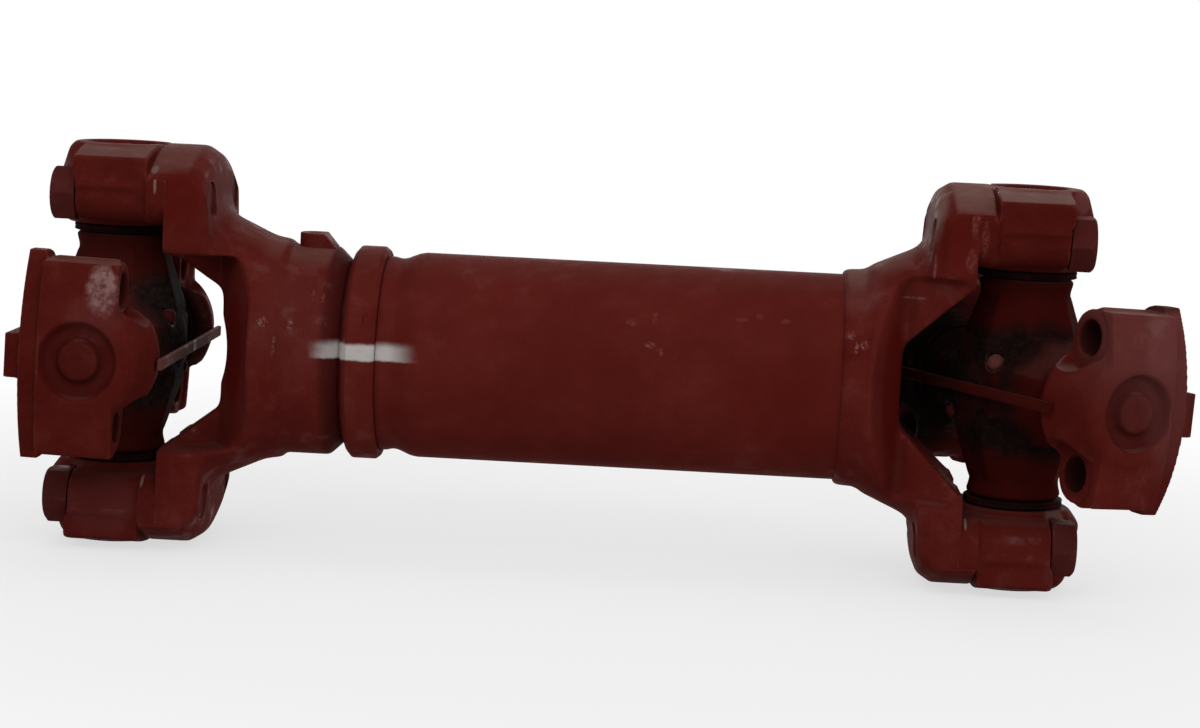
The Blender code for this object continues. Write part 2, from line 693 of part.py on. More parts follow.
def grease_plug_shape():
    """The fitting in the hub's boss."""
    top = HUB_RADIUS + BOSS_HEIGHT
    low = top - GREASE_PLUG_DEPTH + SEAT_GAP
    radius = GREASE_PLUG_RADIUS
    rise = top + GREASE_PLUG_RISE
    outline = [(low, 0), (low, radius), (top, radius), (rise, radius * 0.7), (rise, 0)]
    return shape_of(moved(turned("grease_plug", outline, 12, "Z"), Vector((BOSS_PLACE, 0, 0))))


def tube_shape():
    """The main tube, between the stub's shoulder and the tube yoke's weld."""
    low = TUBE_START
    high = TRUNNION_SPAN - TUBE_YOKE_WELD - SEAT_GAP
    outline = [(low, TUBE_INNER_RADIUS), (high, TUBE_INNER_RADIUS), (high, TUBE_RADIUS), (low, TUBE_RADIUS)]
    return shape_of(turned("shaft_tube", outline, LARGE_FACETS, ring=True))


def empty(name, parent, location=(0, 0, 0), rotation=(0, 0, 0)):
    """A frame that carries pieces."""
    made = bpy.data.objects.new(name, None)
    bpy.context.scene.collection.objects.link(made)
    made.parent = parent
    made.location = location
    made.rotation_euler = rotation
    return made


def piece(name, mesh, finish, parent, location=(0, 0, 0), rotation=(0, 0, 0)):
    """A named piece of the assembly, on a mesh that copies may share."""
    if not mesh.materials:
        mesh.materials.append(finish)
    made = bpy.data.objects.new(name, mesh)
    bpy.context.scene.collection.objects.link(made)
    made.parent = parent
    made.location = location
    made.rotation_euler = rotation
    return made


def bearing(label, name, shapes, finishes, carrier):
    """One bearing in its block's frame: block, seal, needles and thrust washer."""
    paint, rubber, steel = finishes
    piece(f"{label}_block_{name}", shapes["block"], paint, carrier)
    piece(f"{label}_seal_{name}", shapes["seal"], rubber, carrier)
    piece(f"{label}_needles_{name}", shapes["needles"], steel, carrier)
    piece(f"{label}_thrust_washer_{name}", shapes["washer"], steel, carrier)


def joint(label, shaft, place, facing, swing, tilt, shapes, finishes):
    """One universal joint. facing is 0 where away from the shaft is +X and pi where it is -X."""
    paint, rubber, steel, forged = finishes
    dressing = (paint, rubber, steel)
    frame = empty(f"{label}_joint", shaft, place, (0, 0, facing))
    for name, turn in (("top", (0, 0, pi)), ("bottom", (0, pi, 0))):
        seat = empty(f"{label}_{name}_seat", frame, rotation=turn)
        bearing(label, name, shapes, dressing, seat)
        for side in (-1, 1):
            near = frame.rotation_euler.z == 0
            depth = "front" if (side > 0) == (near == (name == "top")) else "rear"
            offset = (0, side * BOLT_HALF_SPACING, BOLT_REACH)
            piece(f"{label}_bolt_{name}_{depth}", shapes["bolt"], paint, seat, offset)
    pivot = empty(f"{label}_cross_pivot", frame, rotation=(0, 0, swing))
    front = -1 if facing == 0 else 1
    piece(f"{label}_cross", cross_shape(front), forged, pivot)
    for name, side in (("front", 1), ("rear", -1)):
        turn = nipple_turn(front, side).to_euler()
        piece(f"{label}_nipple_{name}", shapes["nipple"], steel, pivot, rotation=turn)
    blocks = empty(f"{label}_blocks_pivot", pivot, rotation=(0, tilt, 0))
    for name, side in (("front", 1), ("rear", -1)):
        seat = empty(f"{label}_{name}_seat", blocks, rotation=(-front * side * pi / 2, 0, 0))
        bearing(label, name, shapes, dressing, seat)
    piece(f"{label}_retaining_strap", shapes["strap"], paint, blocks)


def stand_on_origin(root):
    """Move the assembly so that the origin lies under its middle, on the surface that it stands on."""
    bpy.context.view_layer.update()
    corners = [
        obj.matrix_world @ vertex.co
        for obj in bpy.context.scene.objects
        if obj.type == "MESH"
        for vertex in obj.data.vertices
    ]
    low = Vector([min(corner[i] for corner in corners) for i in range(3)])
    high = Vector([max(corner[i] for corner in corners) for i in range(3)])
    root.location -= Vector(((low.x + high.x) / 2, (low.y + high.y) / 2, low.z))
    bpy.context.view_layer.update()


def main():
    """Build the shaft."""
    clear_scene()
    paint = material("red_oxide_paint", (0.085, 0.013, 0.010), 0.45, 0.0)
    forged = material("oiled_forging", (0.045, 0.040, 0.036), 0.5, 0.7)
    steel = material("bearing_steel", (0.35, 0.34, 0.33), 0.3, 1.0)
    rubber = material("seal_rubber", (0.015, 0.014, 0.014), 0.7, 0.0)
    root = empty("universal_joint_shaft", None)
    slip_frame = empty("slip_slide", root, (-TRUNNION_SPAN / 2, 0, 0))
    tube_frame = empty("tube_body", root, (-TRUNNION_SPAN / 2, 0, 0))
    piece("shaft_tube", tube_shape(), paint, tube_frame)
    piece("splined_stub", stub_shape(), paint, tube_frame)
    piece("tube_yoke", tube_yoke_shape(), paint, tube_frame, (TRUNNION_SPAN, 0, 0), (0, 0, pi))
    piece("slip_yoke", slip_yoke_shape(), paint, slip_frame)
    piece("dust_collar", collar_shape(), paint, slip_frame)
    piece("dust_seal", dust_seal_shape(), rubber, slip_frame)
    piece("throat_plug", throat_plug_shape(), paint, slip_frame)
    piece("spline_grease_plug", grease_plug_shape(), paint, slip_frame)
    shapes = {
        "block": wing_block_shape(),
        "seal": seal_shape(),
        "needles": needles_shape(),
        "washer": washer_shape(),
        "strap": strap_shape(),
        "nipple": nipple_shape(),
        "bolt": bolt_shape(),
    }
    finishes = (paint, rubber, steel, forged)
    joint("slip_end", slip_frame, (0, 0, 0), pi, SLIP_END_SWING, SLIP_END_TILT, shapes, finishes)
    place = (TRUNNION_SPAN, 0, 0)
    joint("tube_end", tube_frame, place, 0, TUBE_END_SWING, TUBE_END_TILT, shapes, finishes)
    stand_on_origin(root)


main()
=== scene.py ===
"""Looks of the universal joint shaft: wing joints, a slip yoke and a tube under one coat of red oxide.

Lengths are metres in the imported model's own frame: X along the shaft towards the tube yoke, Y from the
front to the rear, Z up from the floor. A block's own frame has +Z out along its trunnion and +X at its
mounting face. A fork's own frame has the trunnions' crossing at its origin and +X towards its hub.
"""

import json
import logging
from dataclasses import dataclass, field, replace
from enum import Enum
from math import atan2, cos, pi, radians, sin, sqrt
from typing import Any, Callable, Iterable, Optional, Sequence, Union

import bmesh
import bpy
from mathutils import Matrix, Vector


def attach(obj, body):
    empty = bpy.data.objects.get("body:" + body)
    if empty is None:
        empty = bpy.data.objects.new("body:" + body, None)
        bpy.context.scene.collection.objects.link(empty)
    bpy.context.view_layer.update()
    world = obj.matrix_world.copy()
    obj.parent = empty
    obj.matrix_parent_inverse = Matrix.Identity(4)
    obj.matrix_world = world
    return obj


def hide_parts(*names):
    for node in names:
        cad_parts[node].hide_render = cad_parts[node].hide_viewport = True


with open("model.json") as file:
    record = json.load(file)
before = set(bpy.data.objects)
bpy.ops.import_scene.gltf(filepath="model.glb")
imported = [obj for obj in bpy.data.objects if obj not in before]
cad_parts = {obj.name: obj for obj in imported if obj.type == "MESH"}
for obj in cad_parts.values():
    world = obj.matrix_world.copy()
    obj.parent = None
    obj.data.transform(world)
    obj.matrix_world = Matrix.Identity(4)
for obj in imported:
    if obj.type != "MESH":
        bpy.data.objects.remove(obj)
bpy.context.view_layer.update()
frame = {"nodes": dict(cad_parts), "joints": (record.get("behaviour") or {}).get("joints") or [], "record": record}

log = logging.getLogger("universal_joint_shaft")

Point = tuple[float, float]
Place = tuple[float, float, float]
Colour = tuple[float, float, float]

COARSENESS = 1.0

# How far shapes that a Boolean joins reach into each other
OVERLAP = 0.001


class Axis(Enum):
    """An axis of a shape's own frame."""

    X = 0
    Y = 1
    Z = 2

    @property
    def way(self) -> Vector:
        """The axis as a unit vector."""
        return Vector([float(i == self.value) for i in range(3)])


class End(Enum):
    """The two joints of the shaft."""

    SLIP = "slip_end"
    TUBE = "tube_end"


class Side(Enum):
    """The four bearings of a joint."""

    TOP = "top"
    BOTTOM = "bottom"
    FRONT = "front"
    REAR = "rear"


class Slot(Enum):
    """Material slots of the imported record."""

    PAINT = "red_oxide_paint"
    FORGING = "oiled_forging"
    STEEL = "bearing_steel"
    RUBBER = "seal_rubber"


@dataclass(frozen=True)
class Family:
    """Sizes that the blocks, forks and crosses share."""

    swing_radius: float = 0.0742
    mount: float = 0.0211
    pilot_radius: float = 0.0722
    seat_gap: float = 0.0003
    bolt_spread: float = 0.0242
    bolt_reach: float = 0.0555
    bolt_hole: float = 0.00655
    bore_radius: float = 0.0160
    bore_floor: float = 0.0678
    journal_radius: float = 0.0125
    journal_shoulder: float = 0.0407
    housing_inner: float = 0.0440
    housing_radius: float = 0.0250
    block_depth: float = 0.0340
    spot_depth: float = 0.0013
    lug_back: float = 0.0366
    key_width: float = 0.0159
    key_height: float = 0.0055
    key_outer: float = 0.0695
    tube_radius: float = 0.0381


FAMILY = Family()


@dataclass(frozen=True)
class JointFrame:
    """Where one joint stands: its trunnions' crossing, and how its cross and free blocks are turned."""

    end: End
    facing: float
    swing: float
    tilt: float

    @property
    def trunnion(self) -> Vector:
        """The trunnions' crossing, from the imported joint."""
        name = f"{self.end.value}_swing"
        return Vector(next(joint["pos_m"] for joint in frame["joints"] if joint["name"] == name))

    @property
    def outboard(self) -> Matrix:
        """The joint's frame, with +X away from the shaft."""
        return Matrix.Translation(self.trunnion) @ Matrix.Rotation(radians(self.facing), 4, "Z")

    @property
    def fork(self) -> Matrix:
        """The fork's frame, with +X towards its hub."""
        return self.outboard @ Matrix.Rotation(pi, 4, "Z")

    @property
    def cross(self) -> Matrix:
        """The cross's frame."""
        return self.outboard @ Matrix.Rotation(radians(self.swing), 4, "Z")

    @property
    def free_blocks(self) -> Matrix:
        """The frame that the two free blocks share."""
        return self.cross @ Matrix.Rotation(radians(self.tilt), 4, "Y")

    @property
    def front_sign(self) -> int:
        """Which way along the cross's own Y the photograph's front lies."""
        return -1 if self.facing == 0 else 1

    def seat(self, side: Side) -> Matrix:
        """The frame of one bearing block.

        Args:
            side: which of the four bearings.

        Returns:
            A matrix from the block's own frame to the model's.
        """
        if side is Side.TOP:
            return self.outboard @ Matrix.Rotation(pi, 4, "Z")
        if side is Side.BOTTOM:
            return self.outboard @ Matrix.Rotation(pi, 4, "Y")
        turn = -self.front_sign if side is Side.FRONT else self.front_sign
        return self.free_blocks @ Matrix.Rotation(turn * pi / 2, 4, "X")


def body_of(node: str) -> str:
    """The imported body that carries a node."""
    bodies = frame["record"]["behaviour"]["bodies"]
    return next(body for body, nodes in bodies.items() if node in nodes)


def arc(centre: Point, radius: float, start: float, end: float, steps: int) -> list[Point]:
    """Points of an arc in a plane, both ends included.

    Args:
        centre: the arc's centre.
        radius: its radius.
        start: the first angle, in degrees.
        end: the last angle, in degrees.
        steps: how many chords.

    Returns:
        The points in order.
    """
    angles = [radians(start + (end - start) * i / steps) for i in range(steps + 1)]
    return [(centre[0] + radius * cos(a), centre[1] + radius * sin(a)) for a in angles]


def rounded(corners: Sequence[Place], closed: bool = True, steps: int = 6) -> list[Point]:
    """An outline whose corners are rounded.

    Args:
        corners: points as (first, second, radius), with radius 0 for a sharp corner.
        closed: whether the outline closes on itself.
        steps: chords of each round.

    Returns:
        The points in order.
    """
    points: list[Point] = []
    count = len(corners)
    for i, (u, v, radius) in enumerate(corners):
        here = Vector((u, v))
        if not radius or (not closed and i in (0, count - 1)):
            points.append((u, v))
            continue
        to_last = (Vector(corners[i - 1][:2]) - here).normalized()
        to_next = (Vector(corners[(i + 1) % count][:2]) - here).normalized()
        half = to_last.angle(to_next) / 2
        reach = radius / sin(half)
        middle = here + (to_last + to_next).normalized() * reach
        first = here + to_last * reach * cos(half) - middle
        last = here + to_next * reach * cos(half) - middle
        turn = first.angle_signed(last)
        for k in range(steps + 1):
            spoke = first.copy()
            spoke.rotate(Matrix.Rotation(-turn * k / steps, 2))
            points.append(tuple(middle + spoke))
    return points


class Solid:
    """A closed mesh that is joined, cut and softened until it becomes a piece."""

    def __init__(self, shape: bmesh.types.BMesh) -> None:
        """Turn the faces outwards and put the shape in the scene.

        Args:
            shape: the mesh data, which is freed.
        """
        bmesh.ops.recalc_face_normals(shape, faces=shape.faces)
        mesh = bpy.data.meshes.new("shape")
        shape.to_mesh(mesh)
        shape.free()
        self.obj = bpy.data.objects.new("shape", mesh)
        bpy.context.scene.collection.objects.link(self.obj)

    @classmethod
    def turned(
        cls, outline: Sequence[Point], facets: int, axis: Axis = Axis.X, ring: bool = False
    ) -> "Solid":
        """A lathe shape.

        Args:
            outline: (along, radius) points. They start and end on the axis, unless the outline is a ring's.
            facets: sides of the round.
            axis: what it is spun about.
            ring: whether the outline closes on itself.

        Returns:
            The solid.
        """
        shape = bmesh.new()
        along_way = axis.way
        side = Vector((0, 0, 1)) if axis is Axis.X else Vector((1, 0, 0))
        other = along_way.cross(side)
        angles = [2 * pi * k / facets for k in range(facets)]
        spokes = [side * cos(angle) + other * sin(angle) for angle in angles]
        rows: list[list[bmesh.types.BMVert]] = []
        for along, radius in outline:
            centre = along_way * along
            if radius < 1e-9:
                rows.append([shape.verts.new(centre)])
            else:
                rows.append([shape.verts.new(centre + spoke * radius) for spoke in spokes])
        pairs = list(zip(rows, rows[1:]))
        if ring:
            pairs.append((rows[-1], rows[0]))
        for low, high in pairs:
            for k in range(facets):
                after = (k + 1) % facets
                near = [low[k % len(low)], low[after % len(low)]]
                far = [high[after % len(high)], high[k % len(high)]]
                kept = list(dict.fromkeys(near + far))
                if len(kept) > 2:
                    shape.faces.new(kept)
        return cls(shape)

    @classmethod
    def prism(cls, outline: Sequence[Point], axis: Axis, low: float, high: float) -> "Solid":
        """A flat outline pushed along an axis.

        Args:
            outline: points whose two coordinates are the other axes, in X, Y, Z order.
            axis: the way it is pushed.
            low: where it starts.
            high: where it ends.

        Returns:
            The solid.
        """
        places: dict[Axis, Callable[[float, float], Place]] = {
            Axis.X: lambda u, v: (low, u, v),
            Axis.Y: lambda u, v: (u, low, v),
            Axis.Z: lambda u, v: (u, v, low),
        }
        shape = bmesh.new()
        face = shape.faces.new([shape.verts.new(places[axis](u, v)) for u, v in outline])
        pushed = bmesh.ops.extrude_face_region(shape, geom=[face])
        ends = [item for item in pushed["geom"] if isinstance(item, bmesh.types.BMVert)]
        bmesh.ops.translate(shape, verts=ends, vec=axis.way * (high - low))
        return cls(shape)

    @classmethod
    def box(cls, low: Place, high: Place) -> "Solid":
        """A box between two corners.

        Args:
            low: its lowest corner.
            high: its highest corner.

        Returns:
            The solid.
        """
        outline = [(low[0], low[1]), (high[0], low[1]), (high[0], high[1]), (low[0], high[1])]
        return cls.prism(outline, Axis.Z, low[2], high[2])

    @classmethod
    def rod(cls, radius: float, low: float, high: float, facets: int, axis: Axis = Axis.X) -> "Solid":
        """A round cutter or core on an axis."""
        return cls.turned([(low, 0), (low, radius), (high, radius), (high, 0)], facets, axis)

    @classmethod
    def ball(cls, radius: float) -> "Solid":
        """A ball about the origin.

        Args:
            radius: its radius.

        Returns:
            The solid.
        """
        shape = bmesh.new()
        bmesh.ops.create_icosphere(shape, subdivisions=5, radius=radius)
        return cls(shape)

    def moved(self, change: Union[Matrix, Vector]) -> "Solid":
        """The solid with its points moved by a matrix or an offset.

        Args:
            change: a matrix, or an offset.

        Returns:
            The solid itself.
        """
        matrix = change if isinstance(change, Matrix) else Matrix.Translation(change)
        self.obj.data.transform(matrix)
        return self

    def _evaluated(self) -> "Solid":
        """Apply the modifiers on the solid.

        Returns:
            The solid itself.
        """
        graph = bpy.context.evaluated_depsgraph_get()
        mesh = bpy.data.meshes.new_from_object(self.obj.evaluated_get(graph))
        self.obj.modifiers.clear()
        self.obj.data = mesh
        return self

    def _combined(self, tools: Iterable["Solid"], operation: str) -> "Solid":
        """Run one Boolean for each tool, and remove the tools.

        Args:
            tools: the other solids.
            operation: the Boolean's kind.

        Returns:
            The solid itself.
        """
        held = list(tools)
        for tool in held:
            change = self.obj.modifiers.new(operation, "BOOLEAN")
            change.operation = operation
            change.solver = "EXACT"
            change.object = tool.obj
        self._evaluated()
        for tool in held:
            bpy.data.objects.remove(tool.obj, do_unlink=True)
        return self

    def join(self, *tools: "Solid") -> "Solid":
        """Union with other solids."""
        return self._combined(tools, "UNION")

    def cut(self, *tools: "Solid") -> "Solid":
        """This solid less its cutters."""
        return self._combined(tools, "DIFFERENCE")

    def common(self, *tools: "Solid") -> "Solid":
        """What the solids share."""
        return self._combined(tools, "INTERSECT")

    def softened(
        self, grain: float, passes: int, share: Optional[Callable[[Vector], float]] = None
    ) -> "Solid":
        """Round every edge the way a forging die or a coat of paint does.

        Args:
            grain: size of the even mesh that replaces the faces.
            passes: how far the edges melt.
            share: how much of that a place gets, from 0 to 1.

        Returns:
            The solid itself.
        """
        remesh = self.obj.modifiers.new("even", "REMESH")
        remesh.mode = "VOXEL"
        remesh.voxel_size = grain * COARSENESS
        self._evaluated()
        melt = self.obj.modifiers.new("melt", "SMOOTH")
        melt.factor = 0.5
        melt.iterations = max(1, round(passes / COARSENESS**2))
        if share:
            group = self.obj.vertex_groups.new(name="melt")
            for vertex in self.obj.data.vertices:
                group.add([vertex.index], share(vertex.co), "REPLACE")
            melt.vertex_group = group.name
        self._evaluated()
        self.obj.vertex_groups.clear()
        return self

    def mesh(self, sharp: float = 35.0) -> bpy.types.Mesh:
        """Take the mesh, shaded smooth over its rounds.

        Args:
            sharp: edges that turn more than this many degrees stay crisp.

        Returns:
            The mesh. The object is removed.
        """
        mesh = self.obj.data
        mesh.shade_smooth()
        mesh.set_sharp_from_angle(angle=radians(sharp))
        bpy.data.objects.remove(self.obj, do_unlink=True)
        return mesh


def ease(number: float, low: float, high: float) -> float:
    """A soft step from 0 at low to 1 at high, held outside them."""
    share = min(max((number - low) / (high - low), 0.0), 1.0)
    return share * share * (3 - 2 * share)


def placed(mesh: bpy.types.Mesh, matrix: Matrix) -> bpy.types.Mesh:
    """A copy of a mesh with its place in its points.

    Args:
        mesh: the mesh in its own frame.
        matrix: its place.

    Returns:
        The copy.
    """
    copy = mesh.copy()
    copy.transform(matrix)
    return copy


def piece(
    name: str, mesh: bpy.types.Mesh, finish: bpy.types.Material, slot: Slot, nodes: Sequence[str]
) -> None:
    """Put a finished piece in the scene.

    Args:
        name: the piece's name.
        mesh: its mesh, already in place.
        finish: its material.
        slot: the record's material slot; not used.
        nodes: the CAD nodes that it stands for.
    """
    mesh.name = name
    mesh.materials.clear()
    mesh.materials.append(finish)
    obj = bpy.data.objects.new(name, mesh)
    bpy.context.scene.collection.objects.link(obj)
    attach(obj, body_of(nodes[0]))
    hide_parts(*nodes)
    log.info("%s on %s, %d faces", name, body_of(nodes[0]), len(mesh.polygons))


class Value:
    """A number that varies over a surface and takes part in Python expressions."""

    def __init__(self, tree: "Shader", socket: bpy.types.NodeSocket) -> None:
        """Wrap a socket of a shader."""
        self.tree = tree
        self.socket = socket

    def _math(self, operation: str, first: Any, second: Any) -> "Value":
        """One Math node on two numbers."""
        return self.tree.value("ShaderNodeMath", {"operation": operation}, {0: first, 1: second})

    def __add__(self, other: Any) -> "Value":
        """Sum."""
        return self._math("ADD", self, other)

    def __radd__(self, other: Any) -> "Value":
        """Sum with the number first."""
        return self._math("ADD", other, self)

    def __sub__(self, other: Any) -> "Value":
        """Difference."""
        return self._math("SUBTRACT", self, other)

    def __rsub__(self, other: Any) -> "Value":
        """Difference with the number first."""
        return self._math("SUBTRACT", other, self)

    def __mul__(self, other: Any) -> "Value":
        """Product."""
        return self._math("MULTIPLY", self, other)

    def __rmul__(self, other: Any) -> "Value":
        """Product with the number first."""
        return self._math("MULTIPLY", other, self)

    def larger(self, other: Any) -> "Value":
        """The larger of two numbers."""
        return self._math("MAXIMUM", self, other)

    def smaller(self, other: Any) -> "Value":
        """The smaller of two numbers."""
        return self._math("MINIMUM", self, other)

    def step(self, low: float, high: float) -> "Value":
        """A soft step: 0 at low, 1 at high, and held outside them.

        Args:
            low: where the step is 0. It may be the larger number.
            high: where it is 1.

        Returns:
            The step.
        """
        settings = {"interpolation_type": "SMOOTHSTEP", "clamp": True}
        sockets = {"Value": self, "From Min": low, "From Max": high}
        if high < low:
            sockets |= {"From Min": high, "From Max": low, "To Min": 1.0, "To Max": 0.0}
        return self.tree.value("ShaderNodeMapRange", settings, sockets)


class Shader:
    """One material's node tree."""

    def __init__(self, name: str) -> None:
        """Start a material with only its output.

        Args:
            name: the material's name.
        """
        self.material = bpy.data.materials.new(name)
        self.material.use_nodes = True
        self.tree = self.material.node_tree
        self.tree.nodes.clear()
        self.output = self.tree.nodes.new("ShaderNodeOutputMaterial")
        self.edge_noise: Optional[Value] = None

    def node(
        self, kind: str, settings: Optional[dict] = None, sockets: Optional[dict] = None
    ) -> bpy.types.Node:
        """Add a node.

        Args:
            kind: the node's type.
            settings: its own settings, which are set first.
            sockets: values or links of its inputs, by name, identifier or number.

        Returns:
            The node.
        """
        made = self.tree.nodes.new(kind)
        for name, setting in (settings or {}).items():
            setattr(made, name, setting)
        for key, given in (sockets or {}).items():
            socket = self._input(made, key)
            if isinstance(given, Value):
                given = given.socket
            if isinstance(given, bpy.types.NodeSocket):
                self.tree.links.new(given, socket)
            elif socket.type == "RGBA" and len(given) == 3:
                socket.default_value = (*given, 1.0)
            else:
                socket.default_value = given
        return made

    @staticmethod
    def _input(node: bpy.types.Node, key: Union[str, int]) -> bpy.types.NodeSocket:
        """An input by its number, its identifier or its name.

        Args:
            node: the node.
            key: the input's number, identifier or name.

        Returns:
            The input's socket.
        """
        if isinstance(key, int):
            return node.inputs[key]
        named = [socket for socket in node.inputs if socket.identifier == key]
        return named[0] if named else node.inputs[key]

    def value(self, kind: str, settings: Optional[dict] = None, sockets: Optional[dict] = None) -> Value:
        """The first output of a new node, as a number for expressions."""
        return Value(self, self.node(kind, settings, sockets).outputs[0])

    def coordinates(self) -> bpy.types.NodeSocket:
        """Object coordinates."""
        return self.node("ShaderNodeTexCoord").outputs["Object"]

    def part(self, vector: bpy.types.NodeSocket, axis: Axis) -> Value:
        """One coordinate of a vector."""
        split = self.node("ShaderNodeSeparateXYZ", None, {"Vector": vector})
        return Value(self, split.outputs[axis.value])

    def normal(self) -> bpy.types.NodeSocket:
        """The surface's own direction."""
        return self.node("ShaderNodeNewGeometry").outputs["Normal"]

    def pointiness(self) -> Value:
        """Above a half on ridges and below it in hollows."""
        return Value(self, self.node("ShaderNodeNewGeometry").outputs["Pointiness"])

    def noise(
        self, size: float, detail: float = 3.0, roughness: float = 0.55, stretch: Place = (1, 1, 1)
    ) -> Value:
        """Cloudy noise from 0 to 1.

        Args:
            size: how large its patches are.
            detail: how many finer layers it has.
            roughness: how strong the finer layers are.
            stretch: scale of each axis.

        Returns:
            The noise.
        """
        sockets: dict = {"Vector": self.coordinates()}
        if stretch != (1, 1, 1):
            mapping = {"Vector": self.coordinates(), "Scale": stretch}
            sockets["Vector"] = self.node("ShaderNodeMapping", None, mapping).outputs[0]
        sockets |= {"Scale": 1 / size, "Detail": detail, "Roughness": roughness}
        return self.value("ShaderNodeTexNoise", None, sockets)

    def mix(self, first: Any, second: Any, share: Any) -> bpy.types.NodeSocket:
        """A colour between two.

        Args:
            first: the colour at share 0.
            second: the colour at share 1.
            share: a number or a Value.

        Returns:
            The mixed colour's socket.
        """
        sockets = {"Factor_Float": share, "A_Color": first, "B_Color": second}
        made = self.node("ShaderNodeMix", {"data_type": "RGBA"}, sockets)
        return next(socket for socket in made.outputs if socket.identifier == "Result_Color")

    def away(self, centre: Place, reach: Place = (1, 1, 1)) -> tuple[bpy.types.NodeSocket, Value]:
        """How far the surface lies from a place.

        Args:
            centre: the place.
            reach: the length that counts as 1 along each axis.

        Returns:
            The offset from the place, and its length in reaches.
        """
        vector = "ShaderNodeVectorMath"
        offset = self.node(vector, {"operation": "SUBTRACT"}, {0: self.coordinates(), 1: centre}).outputs[0]
        measured = offset
        if reach != (1, 1, 1):
            measured = self.node(vector, {"operation": "DIVIDE"}, {0: offset, 1: reach}).outputs[0]
        length = self.node(vector, {"operation": "LENGTH"}, {0: measured})
        return offset, Value(self, length.outputs["Value"])

    def raggedness(self) -> Value:
        """The noise that every spot's edge shares.

        Returns:
            The noise, made once for each material.
        """
        if self.edge_noise is None:
            self.edge_noise = self.noise(0.0024, 4, 0.6)
        return self.edge_noise

    def spot(self, centre: Place, reach: Place, ragged: float = 0.0) -> Value:
        """A soft-edged spot at one place.

        Args:
            centre: where it is.
            reach: its half size along each axis.
            ragged: how uneven its edge is.

        Returns:
            1 inside the spot and 0 outside it.
        """
        distance = self.away(centre, reach)[1]
        if ragged:
            distance = distance + (self.raggedness() - 0.5) * ragged
        return distance.step(1.0, 0.55)

    def bump(self, height: Value, depth: float, strength: float) -> bpy.types.NodeSocket:
        """The normal of a surface with fine relief.

        Args:
            height: the relief, from 0 to about 1.
            depth: how deep a height of 1 is.
            strength: how much of it shows.

        Returns:
            The normal's socket.
        """
        sockets = {"Strength": strength, "Distance": depth, "Height": height}
        return self.node("ShaderNodeBump", None, sockets).outputs[0]

    def finish(self, sockets: dict) -> bpy.types.Material:
        """End the tree in one Principled surface.

        Args:
            sockets: the surface's inputs.

        Returns:
            The material.
        """
        surface = self.node("ShaderNodeBsdfPrincipled", None, sockets)
        self.tree.links.new(surface.outputs[0], self.output.inputs["Surface"])
        return self.material


class MarkKind(Enum):
    """What happened to the paint at one place, or what light or shade is painted there."""

    BARE = "chipped to bare steel"
    # Pale mottled patches: painted highlights and reflections on glossy paint
    RUBBED = "rubbed thin and shiny"
    CREAM = "primer showing through"
    RUN = "thick glossy run"
    # Dark marks: a few are grime, most are painted shade in grooves, holes and under parts
    GRIME = "dark oily grime"
    # Near black: unpainted scale, darkened further as painted shade inside the throats
    UNPAINTED = "forging scale that the spray did not reach"
    # Deep red: thick paint, and painted shade on the throats' rounded edges
    FRESH = "thick fresh paint"
    # Dust on upward faces, with the painted sheen of the light above
    DUST = "settled dust"
    # Pale patches: chalky bloom and painted sheen where faces catch the light
    BLOOM = "chalky bloom"


@dataclass(frozen=True)
class Mark:
    """A chip, stain, run, painted highlight, painted sheen or painted shade at one place of the paint."""

    kind: MarkKind
    centre: Place
    reach: Place
    strength: float = 1.0


@dataclass(frozen=True)
class Stripe:
    """The sprayed white stripe along the slip joint."""

    start: float
    end: float
    low: float
    high: float
    crisp_start: float
    crisp_end: float
    fuzz: float = 0.0008
    white: Colour = (0.40, 0.37, 0.355)


